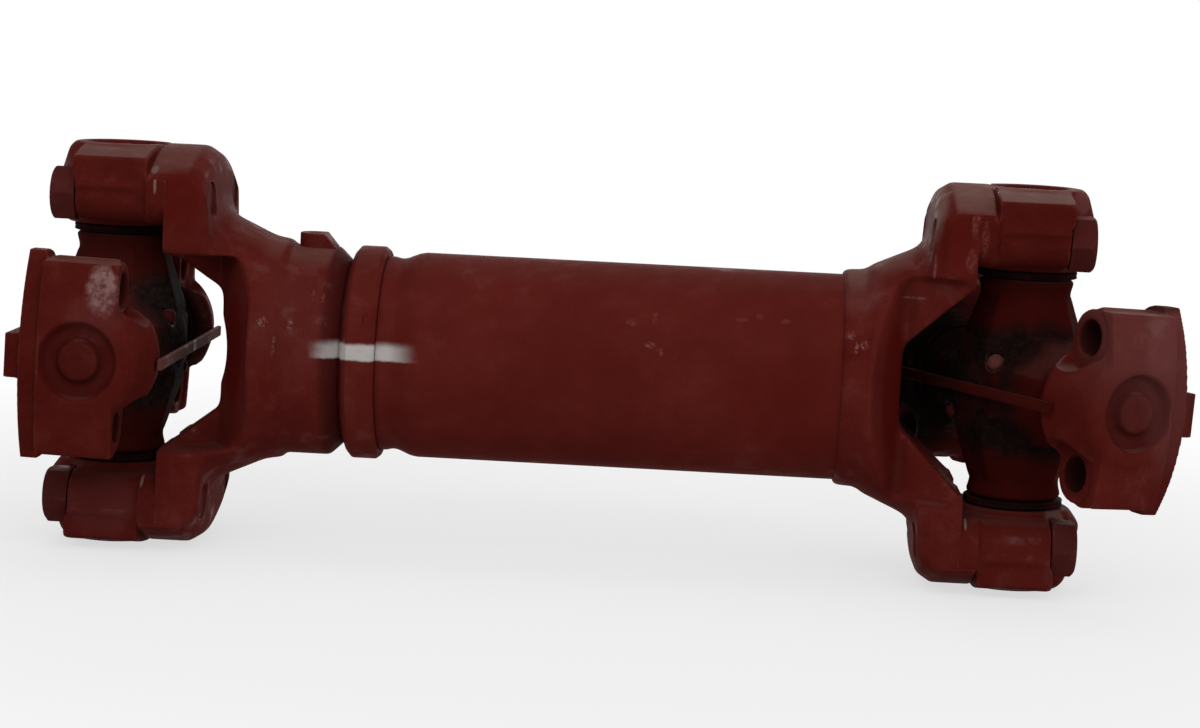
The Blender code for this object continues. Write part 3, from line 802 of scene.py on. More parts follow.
@dataclass(frozen=True)
class RedOxidePaint:
    """Satin red oxide over rough steel: dust and painted sheen where it faces up, painted shade in hollows,
    painted highlight on ridges.
    """

    name: str
    deep: Colour = (0.067, 0.0072, 0.0054)
    fresh: Colour = (0.100, 0.0136, 0.0104)
    # Pale colour of upward faces: dust and painted sheen
    dust_and_sheen: Colour = (0.130, 0.062, 0.053)
    # Dark colour of specks, hollows and dark marks; in hollows and most marks it is painted shade
    grime_and_shade: Colour = (0.024, 0.0052, 0.0042)
    # Pale colour of specks and ridges; on ridges it is a painted highlight
    edge: Colour = (0.150, 0.040, 0.032)
    # How much of the dust and painted sheen colour the upward faces take
    dust: float = 0.60
    roughness: float = 0.52
    gloss: float = 0.16
    relief: float = 1.0
    marks: tuple[Mark, ...] = ()
    stripe: Optional[Stripe] = None
    greased_before: Optional[float] = None
    steel: Colour = (0.110, 0.098, 0.084)
    grease: Colour = (0.030, 0.021, 0.013)
    cloud_size: float = 0.060
    mottle_size: float = 0.0085
    grain_size: float = 0.0011
    lump_size: float = 0.0120
    speck_size: float = 0.0005
    relief_depth: float = 0.0007

    def material(self) -> bpy.types.Material:
        """Build the paint's nodes.

        Returns:
            The material.
        """
        tree = Shader(self.name)
        broad = tree.noise(self.cloud_size, 3)
        mottle = tree.noise(self.mottle_size, 5, 0.62)
        grain = tree.noise(self.grain_size, 3, 0.6)
        lumps = tree.noise(self.lump_size, 2, 0.4)
        pointed = tree.pointiness()
        up = tree.part(tree.normal(), Axis.Z)
        hollow = pointed.step(0.496, 0.445)
        ridge = pointed.step(0.514, 0.575) * mottle.step(0.30, 0.62)
        # Upward faces high on the object take the dust and painted sheen fully, low ones about a quarter of it
        open_to_sky = tree.part(tree.coordinates(), Axis.Z).step(0.045, 0.090) * 0.75 + 0.25
        lying = up.step(0.78, 0.99) * (0.45 + mottle * 0.9) * open_to_sky
        # Share of dust and painted sheen on upward faces
        settled = (lying * self.dust).smaller(0.9)
        colour = tree.mix(self.deep, self.fresh, (broad * 0.7 + mottle * 0.3).step(0.32, 0.62))
        colour = tree.mix(colour, self.deep, grain.step(0.50, 0.72) * 0.45)
        speck = tree.noise(self.speck_size, 2, 0.5)
        colour = tree.mix(colour, self.edge, speck.step(0.58, 0.80) * 0.30)
        colour = tree.mix(colour, self.grime_and_shade, speck.step(0.42, 0.22) * 0.45)
        # Painted shade in hollows
        colour = tree.mix(colour, self.grime_and_shade, hollow * (0.35 + broad * 0.5))
        # Painted highlight on ridges
        colour = tree.mix(colour, self.edge, ridge * 0.45)
        # Dust and painted sheen on upward faces
        colour = tree.mix(colour, self.dust_and_sheen, settled)
        rough = self.roughness + (broad - 0.5) * 0.16 + (mottle - 0.5) * 0.14 + settled * 0.16
        coat = mottle.step(0.50, 0.72) * broad.step(0.38, 0.62) * self.gloss * (1 - settled)
        height = (grain * 0.10 + mottle * 0.28 + lumps * 0.50) * self.relief
        colour, rough, coat, height = self._marked(tree, colour, rough, coat, height)
        if self.stripe:
            white = self._stripe_mask(tree, self.stripe)
            colour = tree.mix(colour, self.stripe.white, white)
            rough = rough + white * 0.1
        sockets: dict[str, Any] = {"Coat Weight": coat, "Coat Roughness": 0.16, "IOR": 1.03}
        if self.greased_before is not None:
            along = tree.part(tree.coordinates(), Axis.X)
            bare = along.step(self.greased_before + 1e-4, self.greased_before - 1e-4)
            grease = tree.noise(0.0050, 4, 0.6, (0.35, 1.0, 1.0)).step(0.40, 0.66)
            colour = tree.mix(colour, tree.mix(self.steel, self.grease, grease), bare)
            rough = rough - bare * 0.14
            sockets |= {"Metallic": bare * (0.85 - grease * 0.55), "Coat Weight": coat * (1 - bare)}
        normal = tree.bump(height, self.relief_depth, 0.55)
        sockets |= {"Base Color": colour, "Roughness": rough, "Normal": normal}
        return tree.finish(sockets)

    def _marked(
        self, tree: Shader, colour: Any, rough: Value, coat: Value, height: Value
    ) -> tuple[Any, Value, Value, Value]:
        """Add the marks to the paint.

        Args:
            tree: the paint's nodes.
            colour: its colour so far.
            rough: its roughness so far.
            coat: its gloss so far.
            height: its bump height so far.

        Returns:
            The colour, roughness, gloss and height with the marks.
        """
        # The highlight, sheen and shade kinds put painted light or shade into the colour
        tints = {
            MarkKind.BARE: (0.17, 0.155, 0.14),
            MarkKind.RUBBED: (0.185, 0.096, 0.090),
            MarkKind.CREAM: (0.30, 0.22, 0.18),
            MarkKind.RUN: self.fresh,
            MarkKind.GRIME: self.grime_and_shade,
            MarkKind.UNPAINTED: (0.0085, 0.0062, 0.0056),
            MarkKind.FRESH: (0.072, 0.0050, 0.0034),
            MarkKind.DUST: self.dust_and_sheen,
            MarkKind.BLOOM: (0.125, 0.042, 0.039),
        }
        ragged_kinds = (MarkKind.BARE, MarkKind.RUBBED, MarkKind.CREAM, MarkKind.RUN)
        for mark in self.marks:
            ragged = 0.7 if mark.kind in ragged_kinds else 0.2
            spot = tree.spot(mark.centre, mark.reach, ragged) * mark.strength
            # Mottled painted highlight
            if mark.kind is MarkKind.RUBBED:
                spot = spot * (0.30 + tree.noise(0.0030, 5, 0.65).step(0.38, 0.60) * 0.70)
            colour = tree.mix(colour, tints[mark.kind], spot)
            if mark.kind in (MarkKind.RUN, MarkKind.RUBBED):
                rough = rough - spot * 0.14
                coat = coat.larger(spot * tree.noise(0.0012, 3).step(0.44, 0.62) * 0.40)
            if mark.kind is MarkKind.RUN:
                height = height + spot * (0.20 + tree.noise(0.0018, 2) * 0.9)
        return colour, rough, coat, height

    @staticmethod
    def _stripe_mask(tree: Shader, stripe: Stripe) -> Value:
        """Where the white stripe lies: crisp over the collar and sprayed thin towards its ends.

        Args:
            tree: the paint's nodes.
            stripe: the stripe's place.

        Returns:
            1 on the stripe and 0 off it.
        """
        place = tree.coordinates()
        along = tree.part(place, Axis.X) + (tree.noise(0.006, 3) - 0.5) * 0.004
        up = tree.part(place, Axis.Z) + (tree.noise(0.004, 3) - 0.5) * 0.0012
        near = tree.part(place, Axis.Y).step(0.0, -0.01)
        ends = along.step(stripe.start, stripe.crisp_start) * along.step(stripe.end, stripe.crisp_end)
        above = up.step(stripe.low - 0.0004, stripe.low + 0.0006)
        below = up.step(stripe.high + stripe.fuzz, stripe.high - stripe.fuzz)
        patchy = (0.80 + tree.noise(0.0030, 3) * 0.35).smaller(1.0)
        return ends * (above * below) * near * patchy


@dataclass(frozen=True)
class OiledForging:
    """The cross: dark forging scale under oil, bare on its ridges, with overspray on its shoulders, dust and
    painted sheen where it faces up, and its rear arms left dark without overspray as painted shade.
    """

    name: str
    centre: Place
    web: Colour = (0.0060, 0.0032, 0.0028)
    scale: Colour = (0.0125, 0.0060, 0.0052)
    overspray: Colour = (0.038, 0.0038, 0.0028)
    # Pale colour of upward painted faces: dust and painted sheen
    dust_and_sheen: Colour = (0.070, 0.026, 0.022)
    ridge: Colour = (0.20, 0.17, 0.14)
    sprayed: float = 0.40
    worn: float = 0.25
    paint_from: Point = (0.0275, 0.0340)
    # Along Y, where the rear arms lose their overspray and stay dark: painted shade
    shaded_unsprayed_rear_from: Point = (0.012, 0.020)
    cloud_size: float = 0.016
    scale_size: float = 0.0024
    relief_depth: float = 0.0008

    def material(self) -> bpy.types.Material:
        """Build the forging's nodes.

        Returns:
            The material.
        """
        tree = Shader(self.name)
        broad = tree.noise(self.cloud_size, 4)
        fine = tree.noise(self.scale_size, 5, 0.65)
        pointed = tree.pointiness()
        offset, distance = tree.away(self.centre)
        far = distance + (broad - 0.5) * 0.012
        # The rear arms take no overspray: dark scale, as painted shade
        shaded_unsprayed_rear = tree.part(offset, Axis.Y).step(*self.shaded_unsprayed_rear_from)
        painted = far.step(*self.paint_from) * (1 - shaded_unsprayed_rear * 0.9)
        bare = pointed.step(0.520, 0.570) * fine.step(0.30, 0.55) * (1 - painted)
        up = tree.part(tree.normal(), Axis.Z).step(0.3, 0.95)
        colour = tree.mix(self.web, self.scale, fine.step(0.35, 0.7))
        mist = broad.step(0.48, 0.72) * self.sprayed
        colour = tree.mix(colour, self.overspray, (painted * 0.9 + mist).smaller(1.0))
        colour = tree.mix(colour, self.dust_and_sheen, up * painted * (0.2 + fine * 0.7))
        colour = tree.mix(colour, self.ridge, bare * self.worn)
        sockets = {
            "Base Color": colour,
            "Roughness": 0.46 + (fine - 0.5) * 0.25 + painted * 0.04,
            "Metallic": bare * 0.4,
            "Normal": tree.bump(fine * 0.5 + broad * 0.6, self.relief_depth, 0.6),
            "IOR": 1.015,
        }
        return tree.finish(sockets)


@dataclass(frozen=True)
class BearingSteel:
    """Ground hardened steel with a film of grease."""

    name: str
    bright: Colour = (0.36, 0.35, 0.33)
    greasy: Colour = (0.16, 0.13, 0.09)

    def material(self) -> bpy.types.Material:
        """Build the steel's nodes.

        Returns:
            The material.
        """
        tree = Shader(self.name)
        film = tree.noise(0.006, 4)
        scratch = tree.noise(0.0009, 2, 0.5, (1.0, 1.0, 14.0))
        colour = tree.mix(self.bright, self.greasy, film.step(0.45, 0.70))
        sockets = {
            "Base Color": colour,
            "Roughness": 0.22 + film * 0.18 + (scratch - 0.5) * 0.12,
            "Metallic": 1 - film.step(0.55, 0.80) * 0.6,
            "Normal": tree.bump(scratch, 0.0001, 0.2),
        }
        return tree.finish(sockets)


@dataclass(frozen=True)
class SealRubber:
    """Black nitrile rubber with overspray, dust and grease on it."""

    name: str
    black: Colour = (0.0095, 0.0036, 0.0032)
    dust: Colour = (0.030, 0.0056, 0.0044)

    def material(self) -> bpy.types.Material:
        """Build the rubber's nodes.

        Returns:
            The material.
        """
        tree = Shader(self.name)
        cloud = tree.noise(0.005, 4)
        grit = tree.noise(0.0008, 3)
        colour = tree.mix(self.black, self.dust, cloud.step(0.42, 0.72) * 0.7)
        sockets = {
            "Base Color": colour,
            "Roughness": 0.70 + (cloud - 0.5) * 0.3,
            "Normal": tree.bump(grit, 0.0003, 0.35),
            "IOR": 1.05,
        }
        return tree.finish(sockets)


@dataclass
class WingBlock:
    """A bearing block: two wings, a round housing, a pilot flange with its key, and the bearing's bore."""

    half_width: float = 0.0345
    inner: float = 0.0460
    corner: float = 0.0100
    face_radius: float = 0.1350
    flange_depth: float = 0.0066
    flange_half_width: float = 0.0372
    housing_waist: float = 0.0232
    housing_top: float = 0.0185
    housing_mouth: float = 0.0205
    recess_radius: float = 0.0132
    recess_depth: float = 0.0050
    boss_radius: float = 0.0070
    boss_drop: float = 0.0014
    spot_radius: float = 0.0120
    key_inner: float = 0.0470
    parting_level: float = 0.0595
    parting_width: float = 0.0022
    parting_rise: float = 0.0012
    parting_inset: float = 0.0020
    parting_stop: float = 0.0090
    fill_length: float = 0.0060
    bridge: float = 0.0012
    forging_grain: float = 0.0007

    def _section(self, half_width: float, inner: float, outer_radius: float) -> list[Point]:
        """Section across the shaft, with a round outer face and rounded inner corners.

        Args:
            half_width: half its width.
            inner: its inner edge's distance from the shaft's axis.
            outer_radius: radius of its outer face.

        Returns:
            (tangential, radial) points.
        """
        apex = FAMILY.swing_radius
        centre = apex - outer_radius
        rise = sqrt(outer_radius**2 - half_width**2)
        edge = atan2(rise, half_width) * 180 / pi
        corner = self.corner
        face = arc((0, centre), outer_radius, edge, 180 - edge, 24)
        left = arc((-half_width + corner, inner + corner), corner, 180, 270, 10)
        right = arc((half_width - corner, inner + corner), corner, 270, 360, 10)
        return face + left + right

    def _partings(self) -> list[Solid]:
        """The die's parting ridges on the wings' end faces.

        Returns:
            One bar for each wing.
        """
        back = FAMILY.mount - FAMILY.block_depth
        low = self.parting_level - self.parting_width / 2
        high = self.parting_level + self.parting_width / 2
        inside, outside = self.half_width - 2 * OVERLAP, self.half_width + self.parting_rise
        ends = [sorted((side * inside, side * outside)) for side in (-1, 1)]
        start, end = back + self.parting_inset, FAMILY.mount - self.parting_stop
        return [Solid.box((start, near, low), (end, far, high)) for near, far in ends]

    def _fillings(self) -> list[Solid]:
        """Thick paint that fills the steps between the wings and the flange.

        Returns:
            One wedge for each wing.
        """
        start = FAMILY.mount - self.flange_depth
        thin = start - self.fill_length
        deep, proud = self.half_width - 2 * OVERLAP, self.flange_half_width - 0.0004
        outline = [(thin, deep), (start + OVERLAP, deep), (start + OVERLAP, proud)]
        flange = self._section(self.flange_half_width, self.inner, FAMILY.swing_radius)
        fillings = []
        for side in (-1, 1):
            slope = Solid.prism([(u, side * v) for u, v in outline], Axis.Z, self.inner + self.corner, 1.0)
            fillings.append(slope.common(Solid.prism(flange, Axis.X, thin, start + 2 * OVERLAP)))
        return fillings

    def _forging(self, filled: bool) -> Solid:
        """The block as it leaves the die.

        Args:
            filled: whether paint fills the steps beside the flange.

        Returns:
            The rounded forging.
        """
        back = FAMILY.mount - FAMILY.block_depth
        flange_start = FAMILY.mount - self.flange_depth
        top = FAMILY.swing_radius
        housing = rounded(
            [
                (FAMILY.housing_inner, 0, 0),
                (FAMILY.housing_inner, self.housing_mouth, 0.0008),
                (self.inner, FAMILY.housing_radius - 0.0028, 0.0020),
                (self.inner + 0.0040, FAMILY.housing_radius, 0.0030),
                (top - 0.0110, self.housing_waist, 0.0080),
                (top - 0.0028, self.housing_top + 0.0023, 0.0040),
                (top - 0.0004, self.housing_top, 0.0015),
                (top - 0.0004, 0, 0),
            ],
            closed=False,
        )
        body = self._section(self.half_width, self.inner, self.face_radius)
        flange = self._section(self.flange_half_width, self.inner - 0.0004, top)
        forging = Solid.prism(body, Axis.X, back, flange_start + FAMILY.seat_gap)
        forging.join(
            Solid.prism(flange, Axis.X, flange_start, FAMILY.mount + 0.004),
            Solid.turned(housing, 96, Axis.Z),
            *self._partings(),
            *(self._fillings() if filled else []),
        )
        return forging.softened(self.forging_grain, passes=9)

    def _recess(self) -> Solid:
        """Cutter for the dished recess and its centre boss.

        Returns:
            The cutter.
        """
        top = FAMILY.swing_radius
        floor = top - self.recess_depth
        boss = top - self.boss_drop
        outline = rounded(
            [
                (top + 0.02, 0, 0),
                (top + 0.02, self.recess_radius + 0.0060, 0),
                (top + 0.0012, self.recess_radius + 0.0032, 0.0030),
                (top - 0.0010, self.recess_radius + 0.0006, 0.0020),
                (floor, self.recess_radius - 0.0008, 0.0012),
                (floor, self.boss_radius + 0.0012, 0.0010),
                (boss, self.boss_radius - 0.0004, 0.0010),
                (boss, 0.0032, 0.0010),
                (boss - 0.0008, 0, 0),
            ],
            closed=False,
        )
        return Solid.turned(outline, 72, Axis.Z)

    def mesh(self, filled: bool) -> bpy.types.Mesh:
        """The finished block under its paint, in its own frame.

        Args:
            filled: whether paint fills the steps and bridges the seams, as it does on the bolted blocks.

        Returns:
            The mesh.
        """
        block = self._forging(filled)
        reach = FAMILY.swing_radius
        flange_start = FAMILY.mount - self.flange_depth
        bridge = self.bridge if filled else 0
        pilot_radius = FAMILY.pilot_radius + bridge / 2
        pilot = [
            (flange_start, pilot_radius),
            (reach, pilot_radius),
            (reach, 2 * reach),
            (flange_start, 2 * reach),
        ]
        seat = FAMILY.mount - FAMILY.block_depth + FAMILY.spot_depth
        cutters = [
            Solid.box((FAMILY.mount + bridge, -reach, 0), (2 * reach, reach, 2 * reach)),
            Solid.turned(pilot, 180, ring=True),
            Solid.rod(FAMILY.bore_radius, 0, FAMILY.bore_floor, 64, Axis.Z),
            self._recess(),
        ]
        for side in (-1, 1):
            place = Vector((0, side * FAMILY.bolt_spread, FAMILY.bolt_reach))
            cutters.append(Solid.rod(FAMILY.bolt_hole, -reach, reach, 48).moved(place))
            cutters.append(Solid.rod(self.spot_radius, -reach, seat, 64).moved(place))
        block.cut(*cutters)
        half = FAMILY.key_width / 2
        key_low = (FAMILY.mount - OVERLAP, -half, self.key_inner)
        block.join(Solid.box(key_low, (FAMILY.mount + FAMILY.key_height, half, FAMILY.key_outer)))
        return block.softened(self.forging_grain, passes=2).mesh(sharp=60)


@dataclass
class Fork:
    """The forged fork that both yokes share, in a frame whose +X runs from the trunnions to the hub."""

    lug_radius: float = 0.0740
    lug_half_width: float = 0.0369
    lug_inner: float = 0.0380
    lip_length: float = 0.0060
    lug_chamfer: float = 0.0070
    edge_chamfer: float = 0.0018
    arm_length: float = 0.0203
    waist_half_width: float = 0.0200
    waist_height: float = 0.0405
    throat_depth: float = 0.0450
    throat_half_height: float = 0.0145
    throat_fillet: float = 0.0070
    shoulder_radius: float = 0.0416
    keyway_clearance: float = 0.0003
    forging_grain: float = 0.00085
    melt_passes: int = 60
    crisp_share: float = 0.13
    lug_levels: Point = (0.0395, 0.0480)
    lug_reaches: Point = (0.0455, 0.0375)
    hub_start: float = 0.0570
    hub_blend: float = 0.0050

    def outline(self) -> list[Point]:
        """Outer edge from the lip to the hub's shoulder, as (along, radius) points.

        Returns:
            The points in order, from the axis at the lip.
        """
        back = FAMILY.lug_back
        chamfer = self.lug_chamfer
        lip = FAMILY.mount - self.lip_length
        foot = self.lug_radius - chamfer * 1.15
        flare = ((0.030, 0.602), (0.089, 0.414), (0.207, 0.301))
        sweep = flare + ((0.384, 0.230), (0.557, 0.167), (0.852, 0.054), (1, 0))
        drop = foot - self.shoulder_radius
        arm = [(back + self.arm_length * share, self.shoulder_radius + drop * rise) for share, rise in sweep]
        return [
            (lip, 0),
            (lip, self.lug_radius),
            (back - chamfer, self.lug_radius),
            (back - chamfer * 0.30, self.lug_radius - chamfer * 0.45),
            (back, foot),
            *arm,
        ]

    def _side_cutters(self, side: int) -> list[Solid]:
        """Cutters of one side: the lug's flat and the swing clearance at the waist.

        Args:
            side: -1 or 1, the way along Y.

        Returns:
            The cutters.
        """
        wide = 2 * FAMILY.swing_radius
        lug, waist, depth = self.lug_half_width, self.waist_half_width, self.throat_depth
        edge, back, arm = self.edge_chamfer, FAMILY.lug_back, self.arm_length
        flat = [
            (0, lug),
            (back - edge, lug),
            (back, lug - edge),
            (back + arm * 0.15, lug - edge),
            (back + arm * 1.23, lug * 4 / 3),
            (back + arm * 1.23, wide),
            (0, wide),
        ]
        swing = [
            (0, lug + 0.001),
            (FAMILY.mount, lug - 0.001),
            (depth - 0.0130, waist + 0.0085),
            (depth - 0.0030, waist + 0.0035),
            (depth - 0.0005, waist),
            (depth + 0.0090, waist + 0.0165),
            (depth + 0.0130, waist + 0.0235),
            (depth + 0.0130, wide),
            (0, wide),
        ]
        flat_outline = [(u, side * v) for u, v in flat]
        swing_outline = [(u, side * v) for u, v in swing]
        return [
            Solid.prism(flat_outline, Axis.Z, -wide, wide),
            Solid.prism(swing_outline, Axis.Z, -self.waist_height, self.waist_height),
        ]

    def _throat(self) -> Solid:
        """Cutter of the open throat between the lugs.

        Returns:
            The cutter.
        """
        mouth, depth, fillet = self.lug_inner, self.throat_depth, self.throat_fillet
        outline = rounded(
            [
                (0, -mouth, 0),
                (FAMILY.mount, -mouth, 0),
                (depth, -self.throat_half_height, fillet),
                (depth, self.throat_half_height, fillet),
                (FAMILY.mount, mouth, 0),
                (0, mouth, 0),
            ],
            steps=10,
        )
        wide = 2 * FAMILY.swing_radius
        return Solid.prism(outline, Axis.Y, -wide, wide)

    def _melt_share(self, place: Vector) -> float:
        """How far a place of the forging melts: the arms most, the lugs and the hub least.

        Args:
            place: a point of the forging.

        Returns:
            A share from 0 to 1.
        """
        in_lug = ease(abs(place.z), *self.lug_levels) * ease(place.x, *self.lug_reaches)
        in_hub = ease(place.x, self.hub_start, self.hub_start + self.hub_blend)
        return 1 - (1 - self.crisp_share) * max(in_lug, in_hub)

    def forged(self, hub: Sequence[Point]) -> Solid:
        """Cut a turned bell into a fork and machine its lugs.

        Args:
            hub: (along, radius) points that go on from the fork's shoulder to the axis.

        Returns:
            The fork.
        """
        fork = Solid.turned([*self.outline(), *hub], 160)
        fork.cut(*self._side_cutters(-1), *self._side_cutters(1), self._throat())
        fork.softened(self.forging_grain, self.melt_passes, self._melt_share)
        face = FAMILY.mount + FAMILY.seat_gap
        wide = 2 * FAMILY.swing_radius
        cutters = [Solid.rod(FAMILY.pilot_radius + FAMILY.seat_gap, 0, face, 180)]
        half = FAMILY.key_width / 2 + self.keyway_clearance
        key_floor = face + FAMILY.key_height + FAMILY.seat_gap
        key_inner, key_outer = self.lug_inner * 0.9, FAMILY.key_outer + 2 * FAMILY.seat_gap
        for level in (-1, 1):
            low, high = sorted((level * key_inner, level * key_outer))
            cutters.append(Solid.box((0, -half, low), (key_floor, half, high)))
            for side in (-1, 1):
                place = Vector((0, side * FAMILY.bolt_spread, level * FAMILY.bolt_reach))
                cutters.append(Solid.rod(FAMILY.bolt_hole, 0, wide, 32).moved(place))
        return fork.cut(*cutters)


@dataclass
class SlipYoke:
    """The sliding fork with its hub, grease boss, spline bore and nose."""

    fork: Fork = field(
        default_factory=lambda: Fork(
            lug_inner=0.0360,
            throat_depth=0.0398,
            throat_half_height=0.0215,
            throat_fillet=0.0050,
            waist_half_width=0.0124,
            waist_height=0.0355,
        )
    )
    hub_radius: float = 0.0389
    hub_step: float = 0.0645
    hub_taper: float = 0.0805
    hub_end: float = 0.0860
    hub_neck: float = 0.0336
    nose_radius: float = 0.0312
    nose_length: float = 0.0070
    spline_radius: float = 0.0283
    spline_start: float = 0.0550
    plug_radius: float = 0.0185
    plug_seat: float = 0.0520
    boss_radius: float = 0.0062
    boss_height: float = 0.0048
    boss_place: float = 0.0720
    boss_start: float = 0.0660
    boss_flat: float = 0.0756
    boss_foot: float = 0.0800
    boss_grain: float = 0.0004

    def _boss(self) -> Solid:
        """The cast boss for the grease plug: upright towards the fork and sloped towards the collar.

        Returns:
            The boss.
        """
        top = self.hub_radius + self.boss_height
        low = self.hub_radius - 0.0040
        side = [
            (self.boss_start, low),
            (self.boss_start, top),
            (self.boss_flat, top),
            (self.boss_foot, self.hub_radius - 0.0004),
            (self.boss_foot, low),
        ]
        plan = rounded(
            [
                (self.boss_start, -self.boss_radius, self.boss_radius * 0.9),
                (self.boss_foot + OVERLAP, -self.boss_radius, 0),
                (self.boss_foot + OVERLAP, self.boss_radius, 0),
                (self.boss_start, self.boss_radius, self.boss_radius * 0.9),
            ]
        )
        boss = Solid.prism(side, Axis.Y, -2 * self.boss_radius, 2 * self.boss_radius)
        boss.common(Solid.prism(plan, Axis.Z, low - OVERLAP, 2 * top))
        return boss.softened(self.boss_grain, passes=5)

    def mesh(self) -> bpy.types.Mesh:
        """The yoke in its fork's frame.

        Returns:
            The mesh.
        """
        hub = [
            (self.hub_step - 0.0020, self.hub_radius + 0.0019),
            (self.hub_step, self.hub_radius),
            (self.hub_taper, self.hub_radius),
            (self.hub_end, self.hub_neck),
            (self.hub_end, self.nose_radius),
            (self.hub_end + self.nose_length, self.nose_radius),
            (self.hub_end + self.nose_length, 0),
        ]
        yoke = self.fork.forged(hub)
        yoke.join(self._boss())
        yoke.cut(
            Solid.rod(self.plug_radius, 0, self.plug_seat, 72),
            Solid.rod(self.spline_radius, self.spline_start, 2 * self.hub_end, 96),
        )
        return yoke.mesh(sharp=40)


@dataclass
class TubeYoke:
    """The welded fork, whose hub stands a little proud of the tube."""

    fork: Fork = field(default_factory=lambda: Fork(edge_chamfer=0.0045, shoulder_radius=0.0423))
    weld: float = 0.0675
    weld_sink: float = 0.0008
    rise: float = 0.0019

    def mesh(self) -> bpy.types.Mesh:
        """The yoke in its fork's frame.

        Returns:
            The mesh.
        """
        proud = FAMILY.tube_radius + self.rise
        hub = [
            (self.weld - 0.0090, proud + 0.0004),
            (self.weld - 0.0015, proud),
            (self.weld, FAMILY.tube_radius + self.rise * 0.4),
            (self.weld, 0),
        ]
        return self.fork.forged(hub).mesh(sharp=40)


@dataclass
class Cross:
    """A cross with eight-sided arms that turn round at their shoulders, and seats for two grease nipples."""

    root_radius: float = 0.0222
    root_length: float = 0.0140
    root_end: float = 0.0345
    neck_radius: float = 0.0158
    body_radius: float = 0.0245
    journal_end: float = 0.0657
    nipple_tip: Place = (-0.0220, 0.0142, 0.0118)
    nipple_length: float = 0.0085
    nipple_radius: float = 0.0033
    seat_radius: float = 0.0035
    forging_grain: float = 0.0007

    def _arm(self) -> Solid:
        """Two opposite arms on Z.

        Returns:
            The solid.
        """
        shoulder = FAMILY.journal_shoulder
        half = rounded(
            [
                (0, self.neck_radius + 0.0008, 0),
                (shoulder - 0.0050, self.neck_radius + 0.0006, 0.0040),
                (shoulder - 0.0012, self.neck_radius + 0.0016, 0.0010),
                (shoulder, self.neck_radius, 0.0006),
                (shoulder, FAMILY.journal_radius, 0),
                (self.journal_end, FAMILY.journal_radius, 0),
                (self.journal_end, 0, 0),
            ],
            closed=False,
        )
        outline = [(-along, radius) for along, radius in reversed(half[1:])] + half[1:]
        return Solid.turned(outline, 72, Axis.Z)

    def _web(self) -> Solid:
        """The tapered eight-sided root of two opposite arms, on Z.

        Returns:
            The solid.
        """
        wide = self.root_radius / cos(pi / 8)
        half = [(self.root_length, wide), (self.root_end, self.neck_radius + 0.0012), (self.root_end, 0)]
        outline = [(-along, radius) for along, radius in reversed(half)] + half
        return Solid.turned(outline, 8, Axis.Z).moved(Matrix.Rotation(pi / 8, 4, "Z"))

    def nipple_way(self, front: int, side: int) -> Matrix:
        """Rotation from +Z to a nipple's way out of the cross.

        Args:
            front: the sign of the photograph's front along the cross's Y.
            side: 1 for the front nipple, -1 for the rear one.

        Returns:
            The rotation.
        """
        x, y, z = self.nipple_tip
        way = Vector((x, front * side * y, side * z))
        return Vector((0, 0, 1)).rotation_difference(way).to_matrix().to_4x4()

    def mesh(self, front: int) -> bpy.types.Mesh:
        """The cross in its own frame, with its nipple seats for that front.

        Args:
            front: the sign of the photograph's front along the cross's Y.

        Returns:
            The mesh.
        """
        level = Matrix.Rotation(pi / 2, 4, "X")
        cross = self._web().join(self._web().moved(level), Solid.ball(self.body_radius))
        cross.softened(self.forging_grain, passes=6)
        cross.join(self._arm(), self._arm().moved(level))
        base = Vector(self.nipple_tip).length - self.nipple_length - FAMILY.seat_gap
        seats = []
        for side in (-1, 1):
            seat = Solid.rod(self.seat_radius, base, 2 * self.body_radius, 32, Axis.Z)
            seats.append(seat.moved(self.nipple_way(front, side)))
        return cross.cut(*seats).softened(self.forging_grain, passes=2).mesh(sharp=60)

    def nipple(self) -> bpy.types.Mesh:
        """A grease nipple standing on the cross's body along +Z: its painted-over body and round head.

        Returns:
            The mesh.
        """
        base = Vector(self.nipple_tip).length - self.nipple_length
        radius = self.nipple_radius
        outline = rounded(
            [
                (base, 0, 0),
                (base, radius, 0.0002),
                (base + 0.0046, radius, 0.0005),
                (base + 0.0050, radius * 0.82, 0.0003),
                (base + 0.0056, radius * 0.97, 0.0006),
                (base + 0.0074, radius * 0.78, 0.0014),
                (base + self.nipple_length, radius * 0.30, 0.0008),
                (base + self.nipple_length, 0, 0),
            ],
            closed=False,
        )
        return Solid.turned(outline, 40, Axis.Z).mesh(sharp=40)


@dataclass
class Bearing:
    """What sits in each block: the seal at its mouth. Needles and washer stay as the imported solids."""

    flange_radius: float = 0.0190
    depth: float = 0.0040

    def seal(self) -> bpy.types.Mesh:
        """The rubber seal in a block's frame, with a rounded dust lip.

        Returns:
            The mesh.
        """
        inner = FAMILY.journal_radius + FAMILY.seat_gap
        fitted = FAMILY.bore_radius - FAMILY.seat_gap
        mouth = FAMILY.housing_inner
        low = FAMILY.journal_shoulder + FAMILY.seat_gap
        outline = rounded(
            [
                (low, inner, 0.0004),
                (mouth + self.depth, inner, 0.0004),
                (mouth + self.depth, fitted, 0.0004),
                (mouth - FAMILY.seat_gap, fitted, 0.0003),
                (mouth - FAMILY.seat_gap, self.flange_radius, 0.0008),
                (low + 0.0012, self.flange_radius - 0.0010, 0.0006),
                (low, self.flange_radius - 0.0004, 0.0005),
            ],
        )
        return Solid.turned(outline, 80, Axis.Z, ring=True).mesh(sharp=50)


